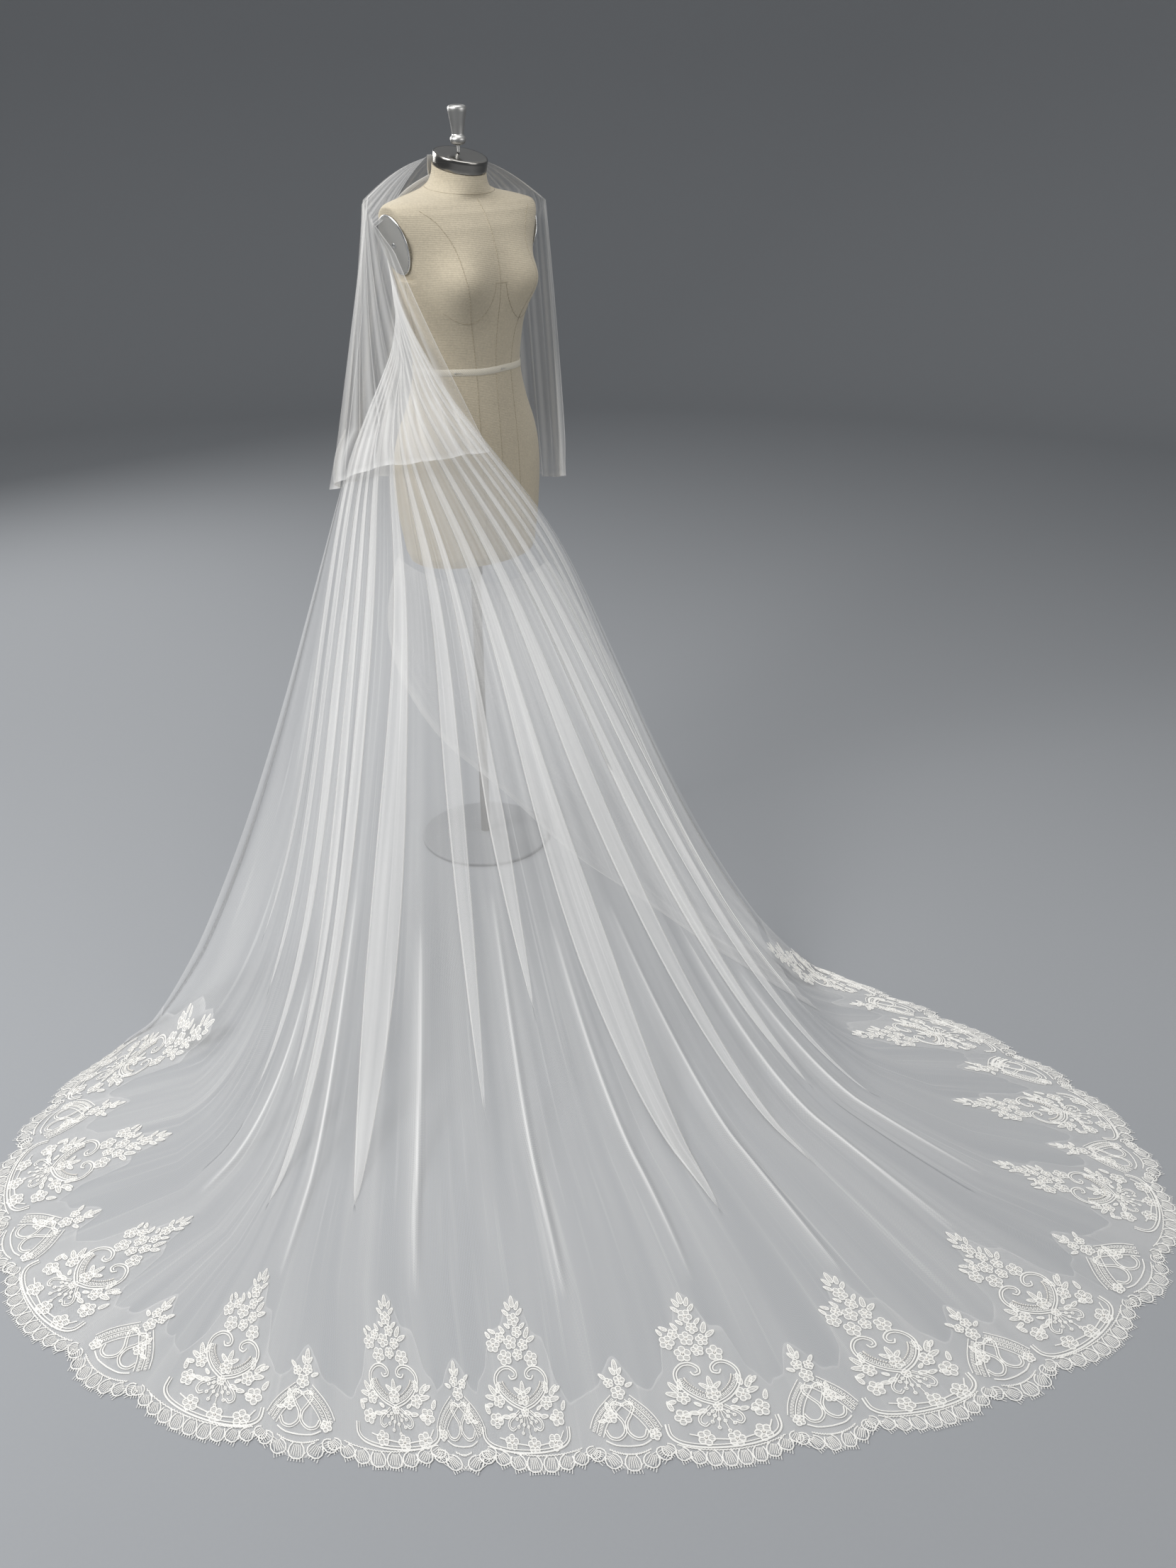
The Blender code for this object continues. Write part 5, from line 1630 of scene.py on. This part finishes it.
class VEIL_OT_head_band(Operator):
    """Builds the gathered heading that both tiers are sewn to"""

    bl_idname = "veil.head_band"
    bl_label = "Head Band"

    def execute(self, context):
        cloth = context.scene.veil_cloth
        ribbon, tree, shader = finish_named(
            "nylon_tulle_bound_heading", cloth.tulle_colour, 0.6, Sheen_Weight=0.3, IOR=1.53
        )
        place = node(tree, "ShaderNodeUVMap", uv_map="cloth").outputs[0]
        # Gathers of the bound heading, 2.5 mm apart; the colour is darker in their hollows, as painted shade
        gathers_and_shade = node(
            tree, "ShaderNodeTexWave", {"Vector": place, "Scale": 62.0, "Distortion": 1.0},
            bands_direction="X",
        )
        light = tuple(cloth.tulle_colour)
        # Painted shade: the tulle is a fifth darker in each gather's hollow
        colour = mixed(tree, gathers_and_shade.outputs["Fac"], tuple(c * 0.80 for c in light), light)
        tree.links.new(colour, shader.inputs["Base Color"])
        bumped(tree, shader, gathers_and_shade.outputs["Fac"], 0.0006)
        count = 260
        share = np.linspace(0, 1, count)
        level = direction(lerp(-84, -190, share))
        rows, uv = [], []
        for k in np.linspace(0, 1, 9):
            bow = 0.0008 * math.sin(math.pi * k)
            radius = BAND_RADIUS + 0.0014 + bow + 0.0007 * np.sin(share * 2 * math.pi * 46 + 2 * k)
            z = HEAD_Z + HEAD_HEIGHT * k + 0.0006 * np.sin(share * 60)
            rows.append(np.concatenate([level * radius[:, None], z[:, None]], -1))
            uv.append(np.stack([share * 0.11, np.full(count, k * HEAD_HEIGHT)], -1))
        band = build("head_band_ribbon", np.array(rows), grid_faces(9, count), ribbon, uv=uv)
        place_piece(band, "ribbon", "head_band")
        return {"FINISHED"}


class VEIL_OT_short_tier(Operator):
    """Builds the plain-edged upper tier"""

    bl_idname = "veil.short_tier"
    bl_label = "Short Tier"

    def execute(self, context):
        cloth = context.scene.veil_cloth
        tulle = tulle_finish(
            "nylon_tulle_short_tier", cloth, cloth.hole_cover * 0.8, cloth.thread_cover * 0.8
        )
        points, uv, folds = make_short_tier_sheet(cloth)
        rows, columns = points.shape[:2]
        made = build("short_tier_tulle", points, grid_faces(rows, columns), tulle, uv=uv, fold=folds)
        place_piece(made, "tulle", "short_tier_right_fall", "short_tier_back", "short_tier_left_fall")
        return {"FINISHED"}


class VEIL_OT_long_tier(Operator):
    """Builds the long tier, from its gathered head to the scalloped hem, and its folded-back layer"""

    bl_idname = "veil.long_tier"
    bl_label = "Long Tier"

    def execute(self, context):
        cloth = context.scene.veil_cloth
        tulle = tulle_finish("nylon_tulle_long_tier", cloth, cloth.hole_cover, cloth.thread_cover)
        points, uv, folds = make_long_tier_sheet(cloth)
        rows, columns = points.shape[:2]
        made = build("long_tier_tulle", points, grid_faces(rows, columns), tulle, uv=uv, fold=folds)
        nodes = ["long_tier_head", "long_tier_wrap"] + [f"train_{k}" for k in range(1, 7)]
        place_piece(made, "tulle", *nodes)
        points, uv, folds = make_folded_sheet()
        rows, columns = points.shape[:2]
        under = build("folded_layer_tulle", points, grid_faces(rows, columns), tulle, uv=uv, fold=folds)
        place_piece(under, "tulle", "train_folded_layer")
        return {"FINISHED"}


class VEIL_OT_lace(Operator):
    """Builds the lace border: its own net, and its cords, fills and beads"""

    bl_idname = "veil.lace"
    bl_label = "Lace Border"

    def execute(self, context):
        cloth = context.scene.veil_cloth
        net = tulle_finish("nylon_net_lace_ground", cloth, 0.02, 0.20, 0.8)
        s = np.linspace(0.0, HEM_LENGTH, 1250)
        edge = scallop(s)
        reach = np.minimum(lace_reach(s), curve(AXES, "width", s) - edge - 0.002)
        rows, uv, folds = [], [], []
        for k in np.linspace(0, 1, 15):
            depth = edge + reach * k
            rows.append(on_border(s, depth, np.full_like(s, 0.0008)))
            uv.append(np.stack([s, depth], -1))
            folds.append(np.full_like(s, 0.2 if k == 1 else 0.0))
        ground = build(
            "lace_ground_net", np.array(rows), grid_faces(15, len(s)), net, uv=np.array(uv),
            fold=np.array(folds),
        )
        place_piece(ground, "lace", *[f"lace_border_{k}" for k in range(1, 7)])

        work = Lacework()
        draw_edge(work)
        for k, (work.middle, work.stretch) in enumerate(motif_places()):
            draw_big(work, k)
        for k, (work.middle, work.stretch) in enumerate(middle_places()):
            draw_middle(work, k)
        places = np.concatenate(work.points)
        widths = curve(AXES, "width", places[:, 0])
        squeeze = np.minimum(1.0, (widths - 0.004) / TALL)
        depth = np.where(places[:, 1] > 0.06, 0.06 + (places[:, 1] - 0.06) * squeeze, places[:, 1])
        inside = np.clip(places[:, 0], 0.0, HEM_LENGTH)
        points = on_border(inside, depth, 0.0010 + places[:, 2])
        finishes = [cord_finish(cloth), fill_finish(cloth), bead_finish(cloth)]
        lace = build(
            "lace_embroidery", points, work.faces, finishes, uv=places[:, :2], kinds=work.kinds
        )
        place_piece(lace, "lace")
        triangles = sum(len(face) - 2 for face in work.faces)
        print("lace", triangles, "triangles")
        return {"FINISHED"}


class VEIL_OT_stage(Operator):
    """Builds the paper backdrop, the soft lights and the camera"""

    bl_idname = "veil.stage"
    bl_label = "Studio"

    def execute(self, context):
        stage = context.scene.veil_stage
        profile = [(0.0, 0.0)] + [(r, 0.0) for r in (1.0, 2.5, 4.0, 5.4)]
        for k in range(1, 13):
            turn = math.radians(90 * k / 12)
            profile.append((5.4 + 1.8 * math.sin(turn), 1.8 * (1 - math.cos(turn))))
        profile.append((7.2, 4.4))
        angle = np.linspace(0, 2 * math.pi, 96, endpoint=False)
        rings = [
            np.stack([np.cos(angle) * r, np.sin(angle) * r - 0.6, np.full(96, z - 0.0006)], -1)
            for r, z in profile[1:]
        ]
        points = np.concatenate([np.array([(0.0, -0.6, -0.0006)])] + rings)
        faces = [(0, 1 + (k + 1) % 96, 1 + k) for k in range(96)]
        faces += [tuple(f) for f in grid_faces(len(rings), 96, ring=True) + 1]
        sweep = build("paper_sweep", points, [tuple(reversed(f)) for f in faces], paper_finish(stage))

        aim = Vector((0.05, -0.55, 0.55))
        for name, place, size, watts in (
            ("key_softbox", (-2.3, -1.9, 2.7), (1.8, 1.4), 86),
            ("fill_softbox", (2.8, -1.6, 1.9), (1.8, 1.4), 22),
            ("top_softbox", (0.1, -0.7, 3.6), (2.6, 2.2), 42),
            ("back_softbox", (-2.4, 2.2, 2.0), (1.8, 1.0), 44),
        ):
            light = bpy.data.lights.new(name, "AREA")
            light.shape = "RECTANGLE"
            light.size, light.size_y = size
            light.energy = watts
            made = bpy.data.objects.new(name, light)
            made.location = place
            made.rotation_euler = (aim - Vector(place)).to_track_quat("-Z", "Y").to_euler()
            made.visible_camera = False
            context.scene.collection.objects.link(made)
        world = bpy.data.worlds.new("studio_air")
        world.use_nodes = True
        world.node_tree.nodes["Background"].inputs["Color"].default_value = (*srgb("#DADDE0"), 1.0)
        world.node_tree.nodes["Background"].inputs["Strength"].default_value = 0.45
        context.scene.world = world
        context.scene.view_settings.view_transform = "Standard"

        camera = bpy.data.cameras.new("camera")
        camera.sensor_width = camera.sensor_height = 36
        camera.sensor_fit = "AUTO"
        camera.lens = stage.camera_lens
        camera.clip_end = 60
        eye = bpy.data.objects.new("camera", camera)
        eye.location = stage.camera_place
        eye.rotation_euler = (math.pi / 2 - stage.camera_pitch, 0, 0)
        context.scene.collection.objects.link(eye)
        context.scene.camera = eye
        return {"FINISHED"}


STEPS = (
    VEIL_OT_form,
    VEIL_OT_metalwork,
    VEIL_OT_head_band,
    VEIL_OT_short_tier,
    VEIL_OT_long_tier,
    VEIL_OT_lace,
    VEIL_OT_stage,
)
SETTINGS = (("veil_cloth", VeilCloth), ("veil_form", VeilForm), ("veil_stage", VeilStage))


class VEIL_PT_panel(Panel):
    """Sizes, colours and building steps of the veil"""

    bl_label = "Bridal Veil"
    bl_idname = "VEIL_PT_panel"
    bl_space_type = "VIEW_3D"
    bl_region_type = "UI"
    bl_category = "Veil"

    def draw(self, context):
        layout = self.layout
        for name, group in SETTINGS:
            box = layout.box()
            for key in group.__annotations__:
                box.prop(getattr(context.scene, name), key)
        for step in STEPS:
            layout.operator(step.bl_idname)


def register():
    for name, group in SETTINGS:
        bpy.utils.register_class(group)
        setattr(bpy.types.Scene, name, PointerProperty(type=group))
    for item in (*STEPS, VEIL_PT_panel):
        bpy.utils.register_class(item)


def unregister():
    for item in (VEIL_PT_panel, *reversed(STEPS)):
        bpy.utils.unregister_class(item)
    for name, group in reversed(SETTINGS):
        delattr(bpy.types.Scene, name)
        bpy.utils.unregister_class(group)


def plain(box):
    """A box as plain lists of numbers."""
    return [[float(x) for x in corner] for corner in box]


def main():
    register()
    bpy.ops.veil.form()
    bpy.ops.veil.metalwork()
    bpy.ops.veil.head_band()
    bpy.ops.veil.short_tier()
    bpy.ops.veil.long_tier()
    bpy.ops.veil.lace()
    bpy.ops.veil.stage()


if __name__ == "__main__":
    main()
